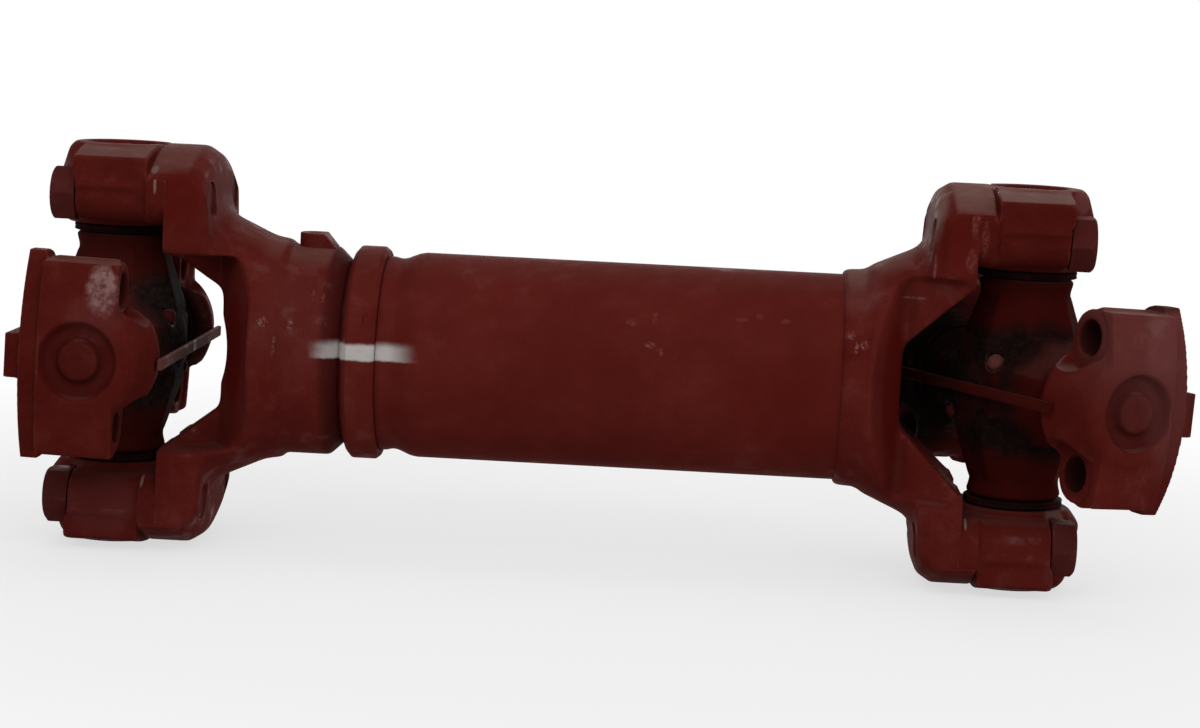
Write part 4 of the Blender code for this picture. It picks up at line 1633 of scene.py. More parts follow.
@dataclass
class BoltSet:
    """The hex bolts of the top and bottom blocks, set out by Geometry Nodes, one mesh for each joint."""

    flats: float = 0.01905
    head_height: float = 0.0092
    shank_radius: float = 0.00625
    end_drop: float = 0.0006
    crown_depth: float = 0.0018
    forging_grain: float = 0.00045
    wander: float = 5.0

    def _bolt(self) -> bpy.types.Object:
        """One bolt under paint: a chamfered hexagon on its seat, with its shank along +X.

        Returns:
            An object that the nodes copy, which is removed afterwards.
        """
        seat = FAMILY.mount - FAMILY.block_depth + FAMILY.spot_depth - FAMILY.seat_gap
        top = seat - self.head_height
        corner = self.flats / 2 / cos(pi / 6)
        hexagon = Solid.turned([(top, 0), (top, corner), (seat, corner), (seat, 0)], 6)
        hexagon.moved(Matrix.Rotation(pi / 6, 4, "X"))
        crown = [
            (top, 0),
            (top, self.flats * 0.46),
            (top + self.crown_depth, corner),
            (seat + OVERLAP, corner + OVERLAP),
            (seat + OVERLAP, 0),
        ]
        hexagon.common(Solid.turned(crown, 72))
        shank_end = FAMILY.lug_back - self.end_drop
        hexagon.join(Solid.rod(self.shank_radius, seat - 2 * OVERLAP, shank_end, 32))
        hexagon.softened(self.forging_grain, passes=3)
        bolt = bpy.data.objects.new("bolt", hexagon.mesh(sharp=60))
        bpy.context.scene.collection.objects.link(bolt)
        return bolt

    @staticmethod
    def _tree() -> bpy.types.NodeTree:
        """The nodes that stand a bolt on each point, each a little turned about its own axis.

        Returns:
            The node tree.
        """
        tree = bpy.data.node_groups.new("bolt_set", "GeometryNodeTree")
        made = tree.interface.new_socket
        made(name="Points", in_out="INPUT", socket_type="NodeSocketGeometry")
        made(name="Bolt", in_out="INPUT", socket_type="NodeSocketObject")
        made(name="Wander", in_out="INPUT", socket_type="NodeSocketFloat")
        made(name="Finish", in_out="INPUT", socket_type="NodeSocketMaterial")
        made(name="Bolts", in_out="OUTPUT", socket_type="NodeSocketGeometry")
        add = tree.nodes.new
        given, result = add("NodeGroupInput"), add("NodeGroupOutput")
        source = add("GeometryNodeObjectInfo")
        source.inputs["As Instance"].default_value = True
        turn = add("FunctionNodeRandomValue")
        turn.data_type = "FLOAT"
        turn.inputs["Seed"].default_value = 7
        floats = [socket for socket in turn.inputs if socket.type == "VALUE"]
        negative = add("ShaderNodeMath")
        negative.operation = "MULTIPLY"
        negative.inputs[1].default_value = -1
        euler = add("ShaderNodeCombineXYZ")
        stand = add("GeometryNodeInstanceOnPoints")
        real = add("GeometryNodeRealizeInstances")
        coat = add("GeometryNodeSetMaterial")
        wire = tree.links.new
        wire(given.outputs["Bolt"], source.inputs["Object"])
        wire(given.outputs["Wander"], negative.inputs[0])
        wire(negative.outputs[0], floats[0])
        wire(given.outputs["Wander"], floats[1])
        wire(next(socket for socket in turn.outputs if socket.type == "VALUE"), euler.inputs["X"])
        wire(given.outputs["Points"], stand.inputs["Points"])
        wire(source.outputs["Geometry"], stand.inputs["Instance"])
        wire(euler.outputs[0], stand.inputs["Rotation"])
        wire(stand.outputs[0], real.inputs[0])
        wire(real.outputs[0], coat.inputs["Geometry"])
        wire(given.outputs["Finish"], coat.inputs["Material"])
        wire(coat.outputs[0], result.inputs[0])
        return tree

    def build(self, joints: Sequence[JointFrame], finish: bpy.types.Material) -> None:
        """Set the bolts of every joint.

        Args:
            joints: where the joints stand.
            finish: the bolts' paint.
        """
        bolt = self._bolt()
        tree = self._tree()
        inputs = {item.name: item.identifier for item in tree.interface.items_tree if item.in_out == "INPUT"}
        spread, reach = FAMILY.bolt_spread, FAMILY.bolt_reach
        places = [(0, side * spread, level * reach) for level in (-1, 1) for side in (-1, 1)]
        for joint in joints:
            points = bpy.data.meshes.new("bolt_points")
            points.from_pydata(places, [], [])
            carrier = bpy.data.objects.new("bolt_points", points)
            bpy.context.scene.collection.objects.link(carrier)
            setter = carrier.modifiers.new("bolts", "NODES")
            setter.node_group = tree
            setter[inputs["Bolt"]] = bolt
            setter[inputs["Wander"]] = radians(self.wander)
            setter[inputs["Finish"]] = finish
            graph = bpy.context.evaluated_depsgraph_get()
            mesh = bpy.data.meshes.new_from_object(carrier.evaluated_get(graph))
            bpy.data.objects.remove(carrier, do_unlink=True)
            mesh.transform(joint.fork)
            end = joint.end.value
            corners = ("top_front", "top_rear", "bottom_front", "bottom_rear")
            nodes = [f"{end}_bolt_{corner}" for corner in corners]
            piece(f"{end}_bolts", mesh, finish, Slot.PAINT, nodes)
        bpy.data.objects.remove(bolt, do_unlink=True)


@dataclass
class Strap:
    """The thin strip that ties the two free blocks together, on the shaft's side of the cross."""

    width: float = 0.0040
    thickness: float = 0.0018
    drop: float = 0.0010
    end: float = 0.0570

    def mesh(self) -> bpy.types.Mesh:
        """The strip in the free blocks' frame, with rounded edges.

        Returns:
            The mesh.
        """
        seat = -FAMILY.housing_radius - FAMILY.seat_gap
        low = -self.drop - self.width / 2
        edge = self.thickness * 0.3
        outline = rounded(
            [
                (seat - self.thickness, low, edge),
                (seat, low, edge),
                (seat, low + self.width, edge),
                (seat - self.thickness, low + self.width, edge),
            ],
            steps=3,
        )
        return Solid.prism(outline, Axis.Y, -self.end, self.end).mesh(sharp=40)


@dataclass
class SlidingJoint:
    """What lies between the slip yoke and the tube: collar, splined stub with its flare, and two plugs."""

    yoke: SlipYoke = field(default_factory=SlipYoke)
    collar_radius: float = 0.0396
    collar_length: float = 0.0123
    collar_chamfer: float = 0.0032
    teeth: int = 16
    spline_major: float = 0.0280
    spline_minor: float = 0.0252
    spline_play: float = 0.0010
    neck_radius: float = 0.0352
    shoulder_radius: float = 0.0362
    shoulder_length: float = 0.0020
    flare: float = 0.0140
    plug_crown: float = 0.0040
    plug_thickness: float = 0.0030
    grease_plug_radius: float = 0.0036
    paint_line: float = 0.00005
    stub_gap: float = 0.0011

    @property
    def collar_start(self) -> float:
        """Where the collar meets the hub."""
        return self.yoke.hub_end + self.paint_line

    @property
    def shoulder(self) -> float:
        """Where the stub's shoulder faces the collar."""
        return self.yoke.hub_end + self.stub_gap + self.collar_length

    @property
    def tube_start(self) -> float:
        """Where the tube meets the flare."""
        return self.shoulder + self.shoulder_length + self.flare

    def collar(self) -> bpy.types.Mesh:
        """The dust collar, with soft edges.

        Returns:
            The mesh.
        """
        start = self.collar_start
        end = self.shoulder - 2 * self.paint_line
        bored = self.yoke.nose_radius + FAMILY.seat_gap
        lip = self.spline_major + 2 * FAMILY.seat_gap
        outline = rounded(
            [
                (start, bored, 0),
                (start, self.yoke.hub_neck, 0.0006),
                (start + self.collar_chamfer * 0.45, self.collar_radius - 0.0021, 0.0014),
                (start + self.collar_chamfer, self.collar_radius, 0.0012),
                (end - 0.0015, self.collar_radius, 0.0012),
                (end, self.collar_radius - 0.0012, 0.0008),
                (end, lip, 0.0003),
                (end - 0.0012, lip, 0.0003),
                (end - 0.0012, bored, 0),
                (start + self.yoke.nose_length, bored, 0),
            ],
        )
        return Solid.turned(outline, 160, ring=True).mesh(sharp=50)

    def _spline_section(self) -> list[Point]:
        """Section of the straight-sided spline.

        Returns:
            The points in order.
        """
        pitch = 2 * pi / self.teeth
        points = []
        for tooth in range(self.teeth):
            for share, radius in (
                (0.04, self.spline_minor),
                (0.36, self.spline_minor),
                (0.46, self.spline_major),
                (0.94, self.spline_major),
            ):
                angle = (tooth + share) * pitch
                points.append((radius * cos(angle), radius * sin(angle)))
        return points

    def stub(self) -> bpy.types.Mesh:
        """The male spline and its flared shoulder.

        Returns:
            The mesh.
        """
        start, end = self.shoulder, self.tube_start
        tube = FAMILY.tube_radius
        outline = rounded(
            [
                (start, 0, 0),
                (start, self.shoulder_radius, 0.0003),
                (start + 0.0025, self.shoulder_radius - 0.0002, 0.0020),
                (start + 0.0055, self.neck_radius, 0.0060),
                (end - 0.0045, tube - 0.0004, 0.0080),
                (end - 0.0020, tube, 0.0040),
                (end - 0.0003, tube, 0.0),
                (end, tube, 0.0),
                (end, 0, 0),
            ],
            closed=False,
        )
        stub = Solid.turned(outline, 160)
        spline_end = self.yoke.spline_start + self.spline_play
        stub.join(Solid.prism(self._spline_section(), Axis.X, spline_end, start + 2 * OVERLAP))
        return stub.mesh(sharp=30)

    def throat_plug(self) -> bpy.types.Mesh:
        """The domed plug in the slip yoke's throat.

        Returns:
            The mesh.
        """
        radius = self.yoke.plug_radius - FAMILY.seat_gap
        back = self.yoke.plug_seat - FAMILY.seat_gap
        front = back - self.plug_thickness
        steps = 12
        shares = [0.95 * k / steps for k in range(steps + 1)]
        dome = [(front - self.plug_crown * (1 - share**2), radius * share) for share in shares]
        return Solid.turned([*dome, (front, radius), (back, radius), (back, 0)], 72).mesh(sharp=40)

    def grease_plug(self) -> bpy.types.Mesh:
        """The fitting in the hub's boss.

        Returns:
            The mesh.
        """
        top = self.yoke.hub_radius + self.yoke.boss_height
        radius = self.grease_plug_radius
        outline = rounded(
            [
                (top - 0.0050, 0, 0),
                (top - 0.0050, radius, 0),
                (top - 0.0002, radius, 0.0003),
                (top + 0.0002, radius * 0.7, 0.0004),
                (top - 0.0004, 0, 0),
            ],
            closed=False,
        )
        place = Vector((self.yoke.boss_place, 0, 0))
        return Solid.turned(outline, 40, Axis.Z).moved(place).mesh(sharp=40)


@dataclass
class Tube:
    """The main tube, from the stub's flare to the tube yoke's weld."""

    wall: float = 0.0034
    rings: int = 40
    border: float = 0.0003

    def mesh(self, low: float, high: float) -> bpy.types.Mesh:
        """The tube along the shaft.

        Args:
            low: where it starts.
            high: where it ends.

        Returns:
            The mesh, with rings close enough for its shading.
        """
        radius = FAMILY.tube_radius
        inner = radius - self.wall
        outer = [(low + (high - low) * k / self.rings, radius) for k in range(1, self.rings)]
        left = [(low, inner), (low, radius), (low + self.border, radius)]
        right = [(high - self.border, radius), (high, radius), (high, inner)]
        return Solid.turned([*left, *outer, *right], 180, ring=True).mesh(sharp=50)


@dataclass
class PhotoCamera:
    """The camera at the photograph's viewing angle."""

    yaw: float = 2.18
    elevation: float = 6.90
    roll: float = 2.75
    distance: float = 1.0873
    focal_pixels: float = 2922.7
    image_width: float = 1200.0
    sensor_width: float = 36.0
    aside: float = 0.01195

    def build(self, slip: JointFrame, tube: JointFrame) -> None:
        """Put the camera in the scene.

        Args:
            slip: the joint on the left.
            tube: the joint on the right.
        """
        yaw, rise, roll = radians(self.yaw), radians(self.elevation), radians(self.roll)
        back = Vector((sin(yaw) * cos(rise), -cos(yaw) * cos(rise), sin(rise)))
        level = Vector((cos(yaw), sin(yaw), 0))
        upright = back.cross(level)
        right = level * cos(roll) + upright * sin(roll)
        up = upright * cos(roll) - level * sin(roll)
        data = bpy.data.cameras.new("photo_camera")
        data.sensor_width = self.sensor_width
        data.lens = self.focal_pixels / self.image_width * self.sensor_width
        camera = bpy.data.objects.new("photo_camera", data)
        look_at = (slip.trunnion + tube.trunnion) / 2 + Vector((self.aside, 0, 0))
        place = look_at + back * self.distance
        turn = Matrix((right, up, back)).transposed().to_4x4()
        camera.matrix_world = Matrix.Translation(place) @ turn
        bpy.context.scene.collection.objects.link(camera)
        bpy.context.scene.camera = camera


@dataclass(frozen=True)
class Softbox:
    """A soft rectangular lamp: where it hangs, its width and height, its watts and what it faces."""

    name: str
    place: Place
    size: Point
    power: float
    target: Place = (0.0, 0.0, 0.07)

    def build(self) -> None:
        """Hang the lamp in the scene."""
        data = bpy.data.lights.new(self.name, "AREA")
        data.shape = "RECTANGLE"
        data.size, data.size_y = self.size
        data.energy = self.power
        lamp = bpy.data.objects.new(self.name, data)
        lamp.location = self.place
        facing = Vector(self.target) - Vector(self.place)
        lamp.rotation_euler = facing.to_track_quat("-Z", "Y").to_euler()
        bpy.context.scene.collection.objects.link(lamp)


@dataclass
class Studio:
    """Pale floor, white surroundings and soft lamps."""

    floor_radius: float = 8.0
    floor_grey: float = 0.72
    shadow_reach: Point = (0.22, 0.60)
    shadow_share: float = 0.35
    sky: float = 0.50
    softboxes: tuple[Softbox, ...] = (
        Softbox("overhead_softbox", (0.05, 0.25, 1.15), (1.5, 0.9), 2.0),
        Softbox("key_softbox", (-0.10, -1.28, 0.98), (1.5, 0.9), 10.5),
        Softbox("side_softbox", (1.30, -0.70, 0.50), (0.6, 0.5), 3.0, (0.1, 0.0, 0.07)),
        Softbox("rear_softbox", (0.05, 1.40, 0.45), (1.4, 0.7), 7.0),
    )

    def build(self) -> None:
        """Set up the floor, the world and the lamps."""
        self._floor()
        self._world()
        for softbox in self.softboxes:
            softbox.build()
        bpy.context.scene.view_settings.view_transform = "Standard"

    def _floor(self) -> None:
        """A wide disc that keeps the shadow near the object and turns white away from it."""
        disc = bmesh.new()
        bmesh.ops.create_circle(disc, cap_ends=True, radius=self.floor_radius, segments=96)
        mesh = bpy.data.meshes.new("floor")
        disc.to_mesh(mesh)
        disc.free()
        floor = bpy.data.objects.new("floor", mesh)
        bpy.context.scene.collection.objects.link(floor)
        tree = Shader("pale_floor")
        paths = tree.node("ShaderNodeLightPath")
        rays = ("Is Camera Ray", "Is Glossy Ray", "Is Transmission Ray")
        direct, glossy, through = (Value(tree, paths.outputs[ray]) for ray in rays)
        seen = direct.larger(glossy).larger(through)
        length = tree.node("ShaderNodeVectorMath", {"operation": "LENGTH"}, {0: tree.coordinates()})
        clear = Value(tree, length.outputs["Value"]).step(*self.shadow_reach)
        far = clear * self.shadow_share + (1 - self.shadow_share)
        matte = tree.node("ShaderNodeBsdfDiffuse", None, {"Color": (self.floor_grey,) * 3})
        white = tree.node("ShaderNodeEmission", None, {"Color": (1.0, 1.0, 1.0), "Strength": 1.0})
        layers = {0: seen * far, 1: matte.outputs[0], 2: white.outputs[0]}
        both = tree.node("ShaderNodeMixShader", None, layers)
        tree.tree.links.new(both.outputs[0], tree.output.inputs["Surface"])
        mesh.materials.append(tree.material)

    def _world(self) -> None:
        """White to the camera and in reflections, softer as a light."""
        world = bpy.data.worlds.new("studio")
        world.use_nodes = True
        bpy.context.scene.world = world
        nodes, links = world.node_tree.nodes, world.node_tree.links
        nodes.clear()
        paths = nodes.new("ShaderNodeLightPath")
        seen = nodes.new("ShaderNodeMath")
        seen.operation = "MAXIMUM"
        seen_through = nodes.new("ShaderNodeMath")
        seen_through.operation = "MAXIMUM"
        mixed = nodes.new("ShaderNodeMixShader")
        soft, white = nodes.new("ShaderNodeBackground"), nodes.new("ShaderNodeBackground")
        for light, strength in ((soft, self.sky), (white, 1.0)):
            light.inputs["Color"].default_value = (1, 1, 1, 1)
            light.inputs["Strength"].default_value = strength
        output = nodes.new("ShaderNodeOutputWorld")
        links.new(paths.outputs["Is Glossy Ray"], seen_through.inputs[0])
        links.new(paths.outputs["Is Transmission Ray"], seen_through.inputs[1])
        links.new(paths.outputs["Is Camera Ray"], seen.inputs[0])
        links.new(seen_through.outputs[0], seen.inputs[1])
        links.new(seen.outputs[0], mixed.inputs[0])
        links.new(soft.outputs[0], mixed.inputs[1])
        links.new(white.outputs[0], mixed.inputs[2])
        links.new(mixed.outputs[0], output.inputs["Surface"])


def freckles(kind: MarkKind, strength: float, *spots: tuple[Place, Place]) -> tuple[Mark, ...]:
    """Several marks of one kind.

    Args:
        kind: what happened to the paint.
        strength: how strong the marks are.
        spots: each mark's centre and half sizes.

    Returns:
        The marks.
    """
    return tuple(Mark(kind, centre, reach, strength) for centre, reach in spots)


PALE_DUST_AND_SHEEN: Colour = (0.158, 0.088, 0.075)

SLIP_YOKE_WEAR = (
    # Paler front of the hub: bloom and painted sheen
    Mark(MarkKind.BLOOM, (-0.1132, -0.0400, 0.0880), (0.0170, 0.0300, 0.0300), 0.10),
    # Painted shade in the groove between the hub and the collar
    Mark(MarkKind.GRIME, (-0.0985, 0.0, 0.0741), (0.0060, 0.1200, 0.1200), 0.55),
    Mark(MarkKind.FRESH, (-0.1553, -0.0360, 0.1300), (0.0105, 0.0060, 0.0160), 0.60),
    Mark(MarkKind.FRESH, (-0.1198, -0.0402, 0.0670), (0.0055, 0.0080, 0.0120), 0.45),
    # Deep red on the throat's rounded edge: thick paint and painted shade
    Mark(MarkKind.FRESH, (-0.1375, -0.0279, 0.0741), (0.0075, 0.0140, 0.0300), 0.80),
    # Dark inside the throat: unpainted scale and painted shade
    Mark(MarkKind.UNPAINTED, (-0.1400, 0.0060, 0.0741), (0.0150, 0.0240, 0.0330), 0.85),
    Mark(MarkKind.BARE, (-0.1650, -0.0330, 0.1400), (0.0016, 0.0050, 0.0022), 0.35),
    *freckles(
        MarkKind.RUN,
        1.0,
        ((-0.1236, -0.0391, 0.0876), (0.0024, 0.0050, 0.0022)),
        ((-0.1138, -0.0368, 0.0868), (0.0013, 0.0050, 0.0032)),
        ((-0.1066, -0.0313, 0.0975), (0.0010, 0.0060, 0.0024)),
        ((-0.1030, -0.0313, 0.0968), (0.0010, 0.0060, 0.0022)),
        ((-0.1191, -0.0400, 0.0785), (0.0009, 0.0050, 0.0050)),
    ),
)

COLLAR_WEAR = (
    # Painted shade in the groove at the collar's start; the two small marks after it are a scratch
    Mark(MarkKind.GRIME, (-0.0962, 0.0, 0.0741), (0.0026, 0.1200, 0.1200), 0.50),
    Mark(MarkKind.GRIME, (-0.0875, -0.0363, 0.0900), (0.0006, 0.0040, 0.0026), 0.40),
    Mark(MarkKind.GRIME, (-0.0866, -0.0363, 0.0915), (0.0010, 0.0040, 0.0006), 0.35),
)

TUBE_WEAR = (
    Mark(MarkKind.FRESH, (0.0700, -0.0370, 0.0660), (0.0300, 0.0200, 0.0260), 0.30),
    *freckles(
        MarkKind.RUN,
        0.75,
        ((0.0092, -0.0326, 0.0939), (0.0026, 0.0050, 0.0018)),
        ((0.0174, -0.0314, 0.0956), (0.0014, 0.0050, 0.0030)),
        ((0.0162, -0.0361, 0.0863), (0.0024, 0.0040, 0.0016)),
        ((0.0199, -0.0368, 0.0840), (0.0014, 0.0040, 0.0022)),
        ((0.0487, -0.0308, 0.0965), (0.0030, 0.0050, 0.0012)),
        ((0.0551, -0.0298, 0.0978), (0.0018, 0.0050, 0.0014)),
        ((0.0642, -0.0308, 0.0966), (0.0026, 0.0050, 0.0012)),
    ),
)

TUBE_YOKE_WEAR = (
    # Paler top of the hub: bloom and painted sheen
    Mark(MarkKind.BLOOM, (0.0905, -0.0215, 0.1090), (0.0110, 0.0200, 0.0130), 0.30),
    # Pale top of the lug: dust and painted sheen
    Mark(MarkKind.DUST, (0.1160, -0.0150, 0.1370), (0.0070, 0.0270, 0.0165), 0.60),
    Mark(MarkKind.FRESH, (0.1240, -0.0369, 0.1270), (0.0090, 0.0060, 0.0180), 0.50),
    # Deep red on the throat's rounded edge: thick paint and painted shade
    Mark(MarkKind.FRESH, (0.1044, -0.0268, 0.0741), (0.0070, 0.0120, 0.0330), 0.85),
    # Dark inside the throat: unpainted scale and painted shade
    Mark(MarkKind.UNPAINTED, (0.1090, 0.0080, 0.0741), (0.0170, 0.0270, 0.0400), 0.95),
    # Pale lines on the arm's and the lug's ridges: painted highlights
    *freckles(
        MarkKind.RUBBED,
        0.40,
        ((0.1111, -0.0235, 0.1070), (0.0060, 0.0050, 0.0007)),
        ((0.1166, -0.0322, 0.1189), (0.0007, 0.0040, 0.0060)),
    ),
    *freckles(
        MarkKind.RUN,
        1.0,
        ((0.1300, -0.0369, 0.1350), (0.0022, 0.0050, 0.0062)),
        ((0.1290, -0.0369, 0.1220), (0.0024, 0.0050, 0.0056)),
        ((0.0876, -0.0349, 0.0935), (0.0026, 0.0050, 0.0022)),
        ((0.0930, -0.0371, 0.0904), (0.0020, 0.0050, 0.0022)),
        ((0.0900, -0.0365, 0.0890), (0.0010, 0.0050, 0.0024)),
    ),
)

BLOCK_WEAR: dict[tuple[End, Side], tuple[Mark, ...]] = {
    (End.SLIP, Side.TOP): (
        Mark(MarkKind.CREAM, (-0.1642, -0.0371, 0.1350), (0.0007, 0.0040, 0.0040), 0.35),
        Mark(MarkKind.BARE, (-0.1655, -0.0345, 0.1400), (0.0014, 0.0050, 0.0020), 0.35),
    ),
    (End.SLIP, Side.BOTTOM): (
        # Paler bottom block: bloom and painted light
        Mark(MarkKind.BLOOM, (-0.1815, -0.0344, 0.0190), (0.0160, 0.0120, 0.0170), 0.18),
        Mark(MarkKind.CREAM, (-0.1665, -0.0330, 0.0265), (0.0007, 0.0050, 0.0030), 0.40),
    ),
    (End.SLIP, Side.FRONT): (
        # Mottled painted reflection on the housing face, and bloom with painted sheen below it
        Mark(MarkKind.RUBBED, (-0.1750, -0.0716, 0.0995), (0.0066, 0.0090, 0.0110), 0.90),
        Mark(MarkKind.BLOOM, (-0.1770, -0.0716, 0.0900), (0.0130, 0.0100, 0.0100), 0.16),
    ),
    (End.SLIP, Side.REAR): (
        # The rear block's inner side darker: unpainted scale and painted shade
        Mark(MarkKind.UNPAINTED, (-0.1650, 0.0350, 0.0741), (0.0340, 0.0200, 0.0400), 0.60),
    ),
    (End.TUBE, Side.TOP): (
        # Pale bulge of the top block: bloom and painted sheen
        Mark(MarkKind.BLOOM, (0.1700, -0.0121, 0.1443), (0.0045, 0.0160, 0.0060), 0.55),
        Mark(MarkKind.RUN, (0.1335, -0.0369, 0.1300), (0.0018, 0.0050, 0.0090), 0.80),
    ),
    (End.TUBE, Side.BOTTOM): (
        Mark(MarkKind.CREAM, (0.1667, -0.0158, 0.0285), (0.0045, 0.0110, 0.0070), 0.22),
        Mark(MarkKind.CREAM, (0.1331, -0.0320, 0.0268), (0.0007, 0.0050, 0.0034), 0.45),
    ),
    (End.TUBE, Side.FRONT): (
        # The front block paler and pinker, most on its right: bloom and painted sheen
        Mark(MarkKind.BLOOM, (0.1880, -0.0640, 0.1080), (0.0330, 0.0380, 0.0520), 0.20),
        Mark(MarkKind.BLOOM, (0.1860, -0.0640, 0.1060), (0.0260, 0.0300, 0.0280), 0.26),
        Mark(MarkKind.BLOOM, (0.1995, -0.0576, 0.0900), (0.0130, 0.0240, 0.0480), 0.34),
        # Painted shade on the flange's end face at the ear
        Mark(MarkKind.GRIME, (0.1936, -0.0420, 0.1098), (0.0120, 0.0120, 0.0032), 0.60),
    ),
    (End.TUBE, Side.REAR): (
        # The rear block's inner side darker: unpainted scale and painted shade
        Mark(MarkKind.UNPAINTED, (0.1240, 0.0300, 0.0741), (0.0400, 0.0260, 0.0440), 0.96),
    ),
}

STRAP_WEAR: dict[End, tuple[Mark, ...]] = {
    # Dust and painted sheen on the slip end's strap
    End.SLIP: (Mark(MarkKind.DUST, (-0.1552, -0.0062, 0.0741), (0.0400, 0.0900, 0.0400), 0.45),),
    End.TUBE: (
        # The tube end's strap darker near the cross and over its far half: painted shade
        Mark(MarkKind.GRIME, (0.1230, -0.0020, 0.0780), (0.0130, 0.0240, 0.0120), 0.80),
        Mark(MarkKind.GRIME, (0.1400, 0.0, 0.0741), (0.0900, 0.0900, 0.0900), 0.40),
    ),
}

CROSS_FINISH: dict[End, Callable[[str, Place], OiledForging]] = {
    End.SLIP: lambda name, centre: OiledForging(
        name,
        centre,
        web=(0.0105, 0.0066, 0.0058),
        scale=(0.0235, 0.0140, 0.0122),
        overspray=(0.046, 0.0060, 0.0046),
        sprayed=0.20,
        worn=0.6,
    ),
    End.TUBE: OiledForging,
}

# Lit and shaded copies of the nipples' paint: painted highlight and painted shade
SHADED_NIPPLE_PAINT: tuple[Colour, Colour] = ((0.034, 0.0058, 0.0050), (0.050, 0.0090, 0.0080))
LIT_NIPPLE_PAINT: tuple[Colour, Colour] = ((0.085, 0.026, 0.022), (0.120, 0.046, 0.040))


def free_block_painted_shade(seat: Matrix) -> tuple[Mark, ...]:
    """Painted shade in a free block's empty bolt holes and in its recess.

    Args:
        seat: the block's frame.

    Returns:
        The marks.
    """
    recess, recess_reach = Vector((0, 0, 0.0705)), (0.0165,) * 3
    hole_depths, hole_reach = (0.0060, 0.0160, 0.0262), (1.75 * FAMILY.bolt_hole,) * 3
    # Darker recess and bolt holes: painted shade
    marks = [Mark(MarkKind.GRIME, tuple(seat @ recess), recess_reach, 0.28)]
    for side in (-1, 1):
        for depth in hole_depths:
            place = Vector((FAMILY.mount - depth, side * FAMILY.bolt_spread, FAMILY.bolt_reach))
            marks.append(Mark(MarkKind.GRIME, tuple(seat @ place), hole_reach))
    return tuple(marks)


def build_shaft(slip: JointFrame, tube: JointFrame) -> None:
    """Make the yokes, the tube and what lies between them.

    Args:
        slip: where the slip end's joint stands.
        tube: where the tube end's joint stands.
    """
    sliding = SlidingJoint()
    along = Matrix.Translation(slip.trunnion)
    origin, height = slip.trunnion.x, slip.trunnion.z
    stripe = Stripe(
        start=origin + 0.0745,
        end=origin + 0.1160,
        low=height + 0.0012,
        high=height + 0.0070,
        crisp_start=origin + 0.0860,
        crisp_end=origin + 0.1030,
    )
    faded = replace(stripe, fuzz=0.0017)
    yoke_coat = RedOxidePaint("yoke_paint", deep=(0.058, 0.0056, 0.0042), fresh=(0.090, 0.0116, 0.0090))
    tube_coat = RedOxidePaint(
        "tube_paint",
        deep=(0.074, 0.0086, 0.0064),
        fresh=(0.097, 0.0130, 0.0100),
        edge=RedOxidePaint.fresh,
        dust=0.15,
        gloss=0.10,
        relief=0.35,
        marks=TUBE_WEAR,
    )
    slip_yoke_coat = replace(yoke_coat, name="slip_yoke_paint", marks=SLIP_YOKE_WEAR, stripe=faded)
    collar_coat = RedOxidePaint("collar_paint", dust=0.25, relief=0.5, marks=COLLAR_WEAR, stripe=stripe)
    stub_coat = replace(
        tube_coat, name="stub_paint", marks=(), stripe=faded, greased_before=origin + sliding.shoulder
    )
    tube_yoke_coat = replace(
        # The tube yoke takes a paler dust and painted sheen colour, and more of it
        yoke_coat, name="tube_yoke_paint", dust_and_sheen=PALE_DUST_AND_SHEEN, dust=0.75, marks=TUBE_YOKE_WEAR
    )
    plug_paint = replace(yoke_coat, name="plug_paint").material()
    welded = TubeYoke()
    span = tube.trunnion.x - slip.trunnion.x
    main_tube = Tube().mesh(sliding.tube_start, span - welded.weld + welded.weld_sink)
    for name, mesh, place, finish, node in (
        ("slip_yoke_forging", sliding.yoke.mesh(), along, slip_yoke_coat.material(), "slip_yoke"),
        ("dust_collar_ring", sliding.collar(), along, collar_coat.material(), "dust_collar"),
        ("splined_stub_flare", sliding.stub(), along, stub_coat.material(), "splined_stub"),
        ("throat_plug_dome", sliding.throat_plug(), along, plug_paint, "throat_plug"),
        ("hub_grease_plug", sliding.grease_plug(), along, plug_paint, "spline_grease_plug"),
        ("main_tube", main_tube, along, tube_coat.material(), "shaft_tube"),
        ("tube_yoke_forging", welded.mesh(), tube.fork, tube_yoke_coat.material(), "tube_yoke"),
    ):
        piece(name, placed(mesh, place), finish, Slot.PAINT, [node])


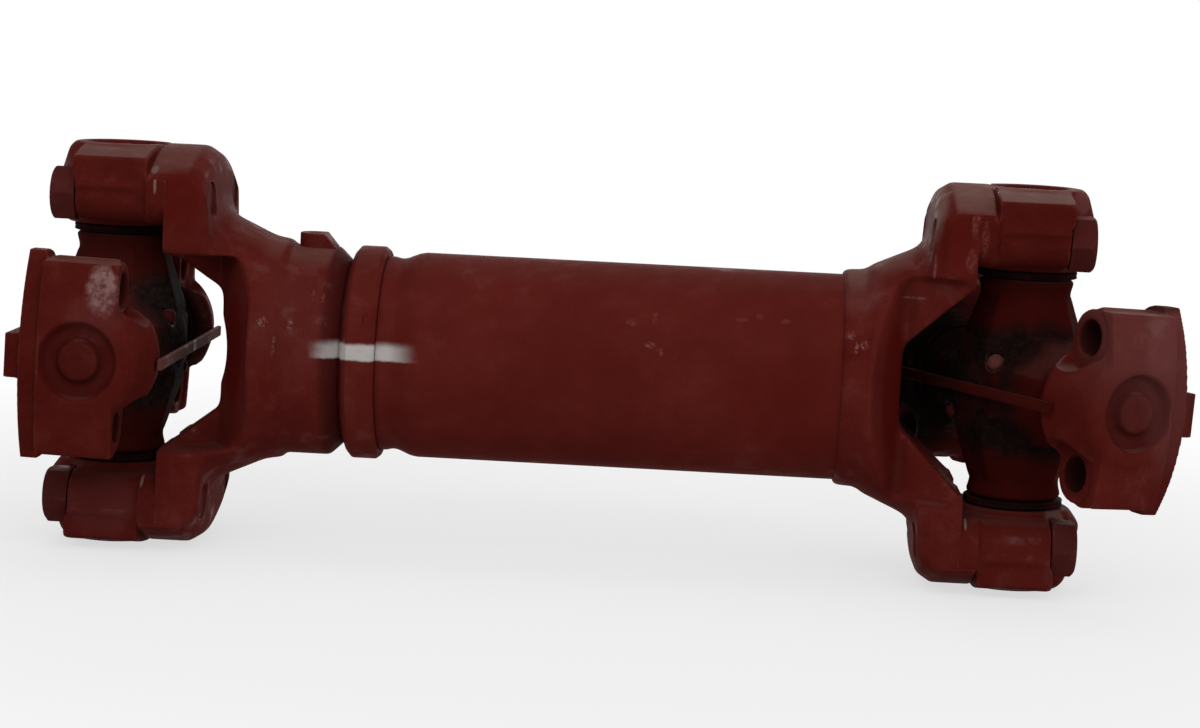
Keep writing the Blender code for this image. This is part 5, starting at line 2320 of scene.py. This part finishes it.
def build_joint(
    joint: JointFrame, bolted: bpy.types.Mesh, free: bpy.types.Mesh, seal: bpy.types.Mesh
) -> None:
    """Make one joint's blocks, seals, cross, nipples and strap.

    Args:
        joint: where it stands.
        bolted: the top and bottom blocks' mesh in a block's frame.
        free: the front and rear blocks' mesh in a block's frame.
        seal: the seal's mesh in a block's frame.
    """
    end = joint.end.value
    block_coat = RedOxidePaint(
        "block_paint",
        deep=(0.055, 0.0054, 0.0040),
        fresh=(0.081, 0.0098, 0.0074),
        # The tube end's blocks take the paler dust and painted sheen colour
        dust_and_sheen=PALE_DUST_AND_SHEEN if joint.end is End.TUBE else RedOxidePaint.dust_and_sheen,
    )
    rubber = SealRubber(f"{end}_seal_rubber").material()
    for side in Side:
        seat = joint.seat(side)
        name = side.value
        block = bolted if side in (Side.TOP, Side.BOTTOM) else free
        marks = BLOCK_WEAR[joint.end, side]
        if block is free:
            marks = marks + free_block_painted_shade(seat)
        # Top blocks take more of the dust and painted sheen colour
        dust = 0.8 if side is Side.TOP else 0.6
        paint = replace(block_coat, name=f"{end}_{name}_block_paint", dust=dust, marks=marks).material()
        piece(f"{end}_wing_block_{name}", placed(block, seat), paint, Slot.PAINT, [f"{end}_block_{name}"])
        piece(f"{end}_bearing_seal_{name}", placed(seal, seat), rubber, Slot.RUBBER, [f"{end}_seal_{name}"])
    cross = Cross()
    front = joint.front_sign
    cross_name = f"{end}_cross_forging"
    forging = CROSS_FINISH[joint.end](cross_name, tuple(joint.trunnion)).material()
    piece(cross_name, placed(cross.mesh(front), joint.cross), forging, Slot.FORGING, [f"{end}_cross"])
    nipple = cross.nipple()
    for name, side in (("front", 1), ("rear", -1)):
        standing = placed(nipple, joint.cross @ cross.nipple_way(front, side))
        # The tube end's front nipple takes the lit copy, the others the shaded one
        colours = LIT_NIPPLE_PAINT if (joint.end, name) == (End.TUBE, "front") else SHADED_NIPPLE_PAINT
        paint = RedOxidePaint(f"{end}_{name}_nipple_paint", *colours).material()
        piece(f"{end}_grease_nipple_{name}", standing, paint, Slot.STEEL, [f"{end}_nipple_{name}"])
    strap = placed(Strap().mesh(), joint.free_blocks)
    thin, thick = (0.040, 0.0036, 0.0024), (0.058, 0.0066, 0.0046)
    wear = STRAP_WEAR[joint.end]
    strap_coat = RedOxidePaint(f"{end}_strap_paint", thin, thick, edge=thick, dust=0.3, marks=wear)
    piece(f"{end}_tie_strap", strap, strap_coat.material(), Slot.PAINT, [f"{end}_retaining_strap"])


def dress_hidden_solids() -> None:
    """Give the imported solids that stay, inside the bearings and the collar, their finishes."""
    steel = BearingSteel("ground_bearing_steel").material()
    rubber = SealRubber("dust_seal_rubber").material()
    for name, node in frame["nodes"].items():
        if "needles" in name or "thrust_washer" in name:
            finish = steel
        elif name == "dust_seal":
            finish = rubber
        else:
            continue
        for slot in node.material_slots:
            slot.material = finish


def main() -> None:
    """Build the looks in order."""
    logging.basicConfig(level=logging.INFO, format="%(name)s: %(message)s")
    slip = JointFrame(End.SLIP, facing=180.0, swing=-0.6, tilt=-1.4)
    tube = JointFrame(End.TUBE, facing=0.0, swing=28.6, tilt=3.2)
    PhotoCamera().build(slip, tube)
    Studio().build()
    build_shaft(slip, tube)
    bolted, free = WingBlock().mesh(filled=True), WingBlock().mesh(filled=False)
    seal = Bearing().seal()
    for joint in (slip, tube):
        build_joint(joint, bolted, free, seal)
    dull, clean = (0.050, 0.0085, 0.0074), (0.068, 0.0140, 0.0124)
    bolt_paint = RedOxidePaint("bolt_paint", deep=dull, fresh=clean, dust=0.4).material()
    BoltSet().build((slip, tube), bolt_paint)
    dress_hidden_solids()


if __name__ == "__main__":
    main()
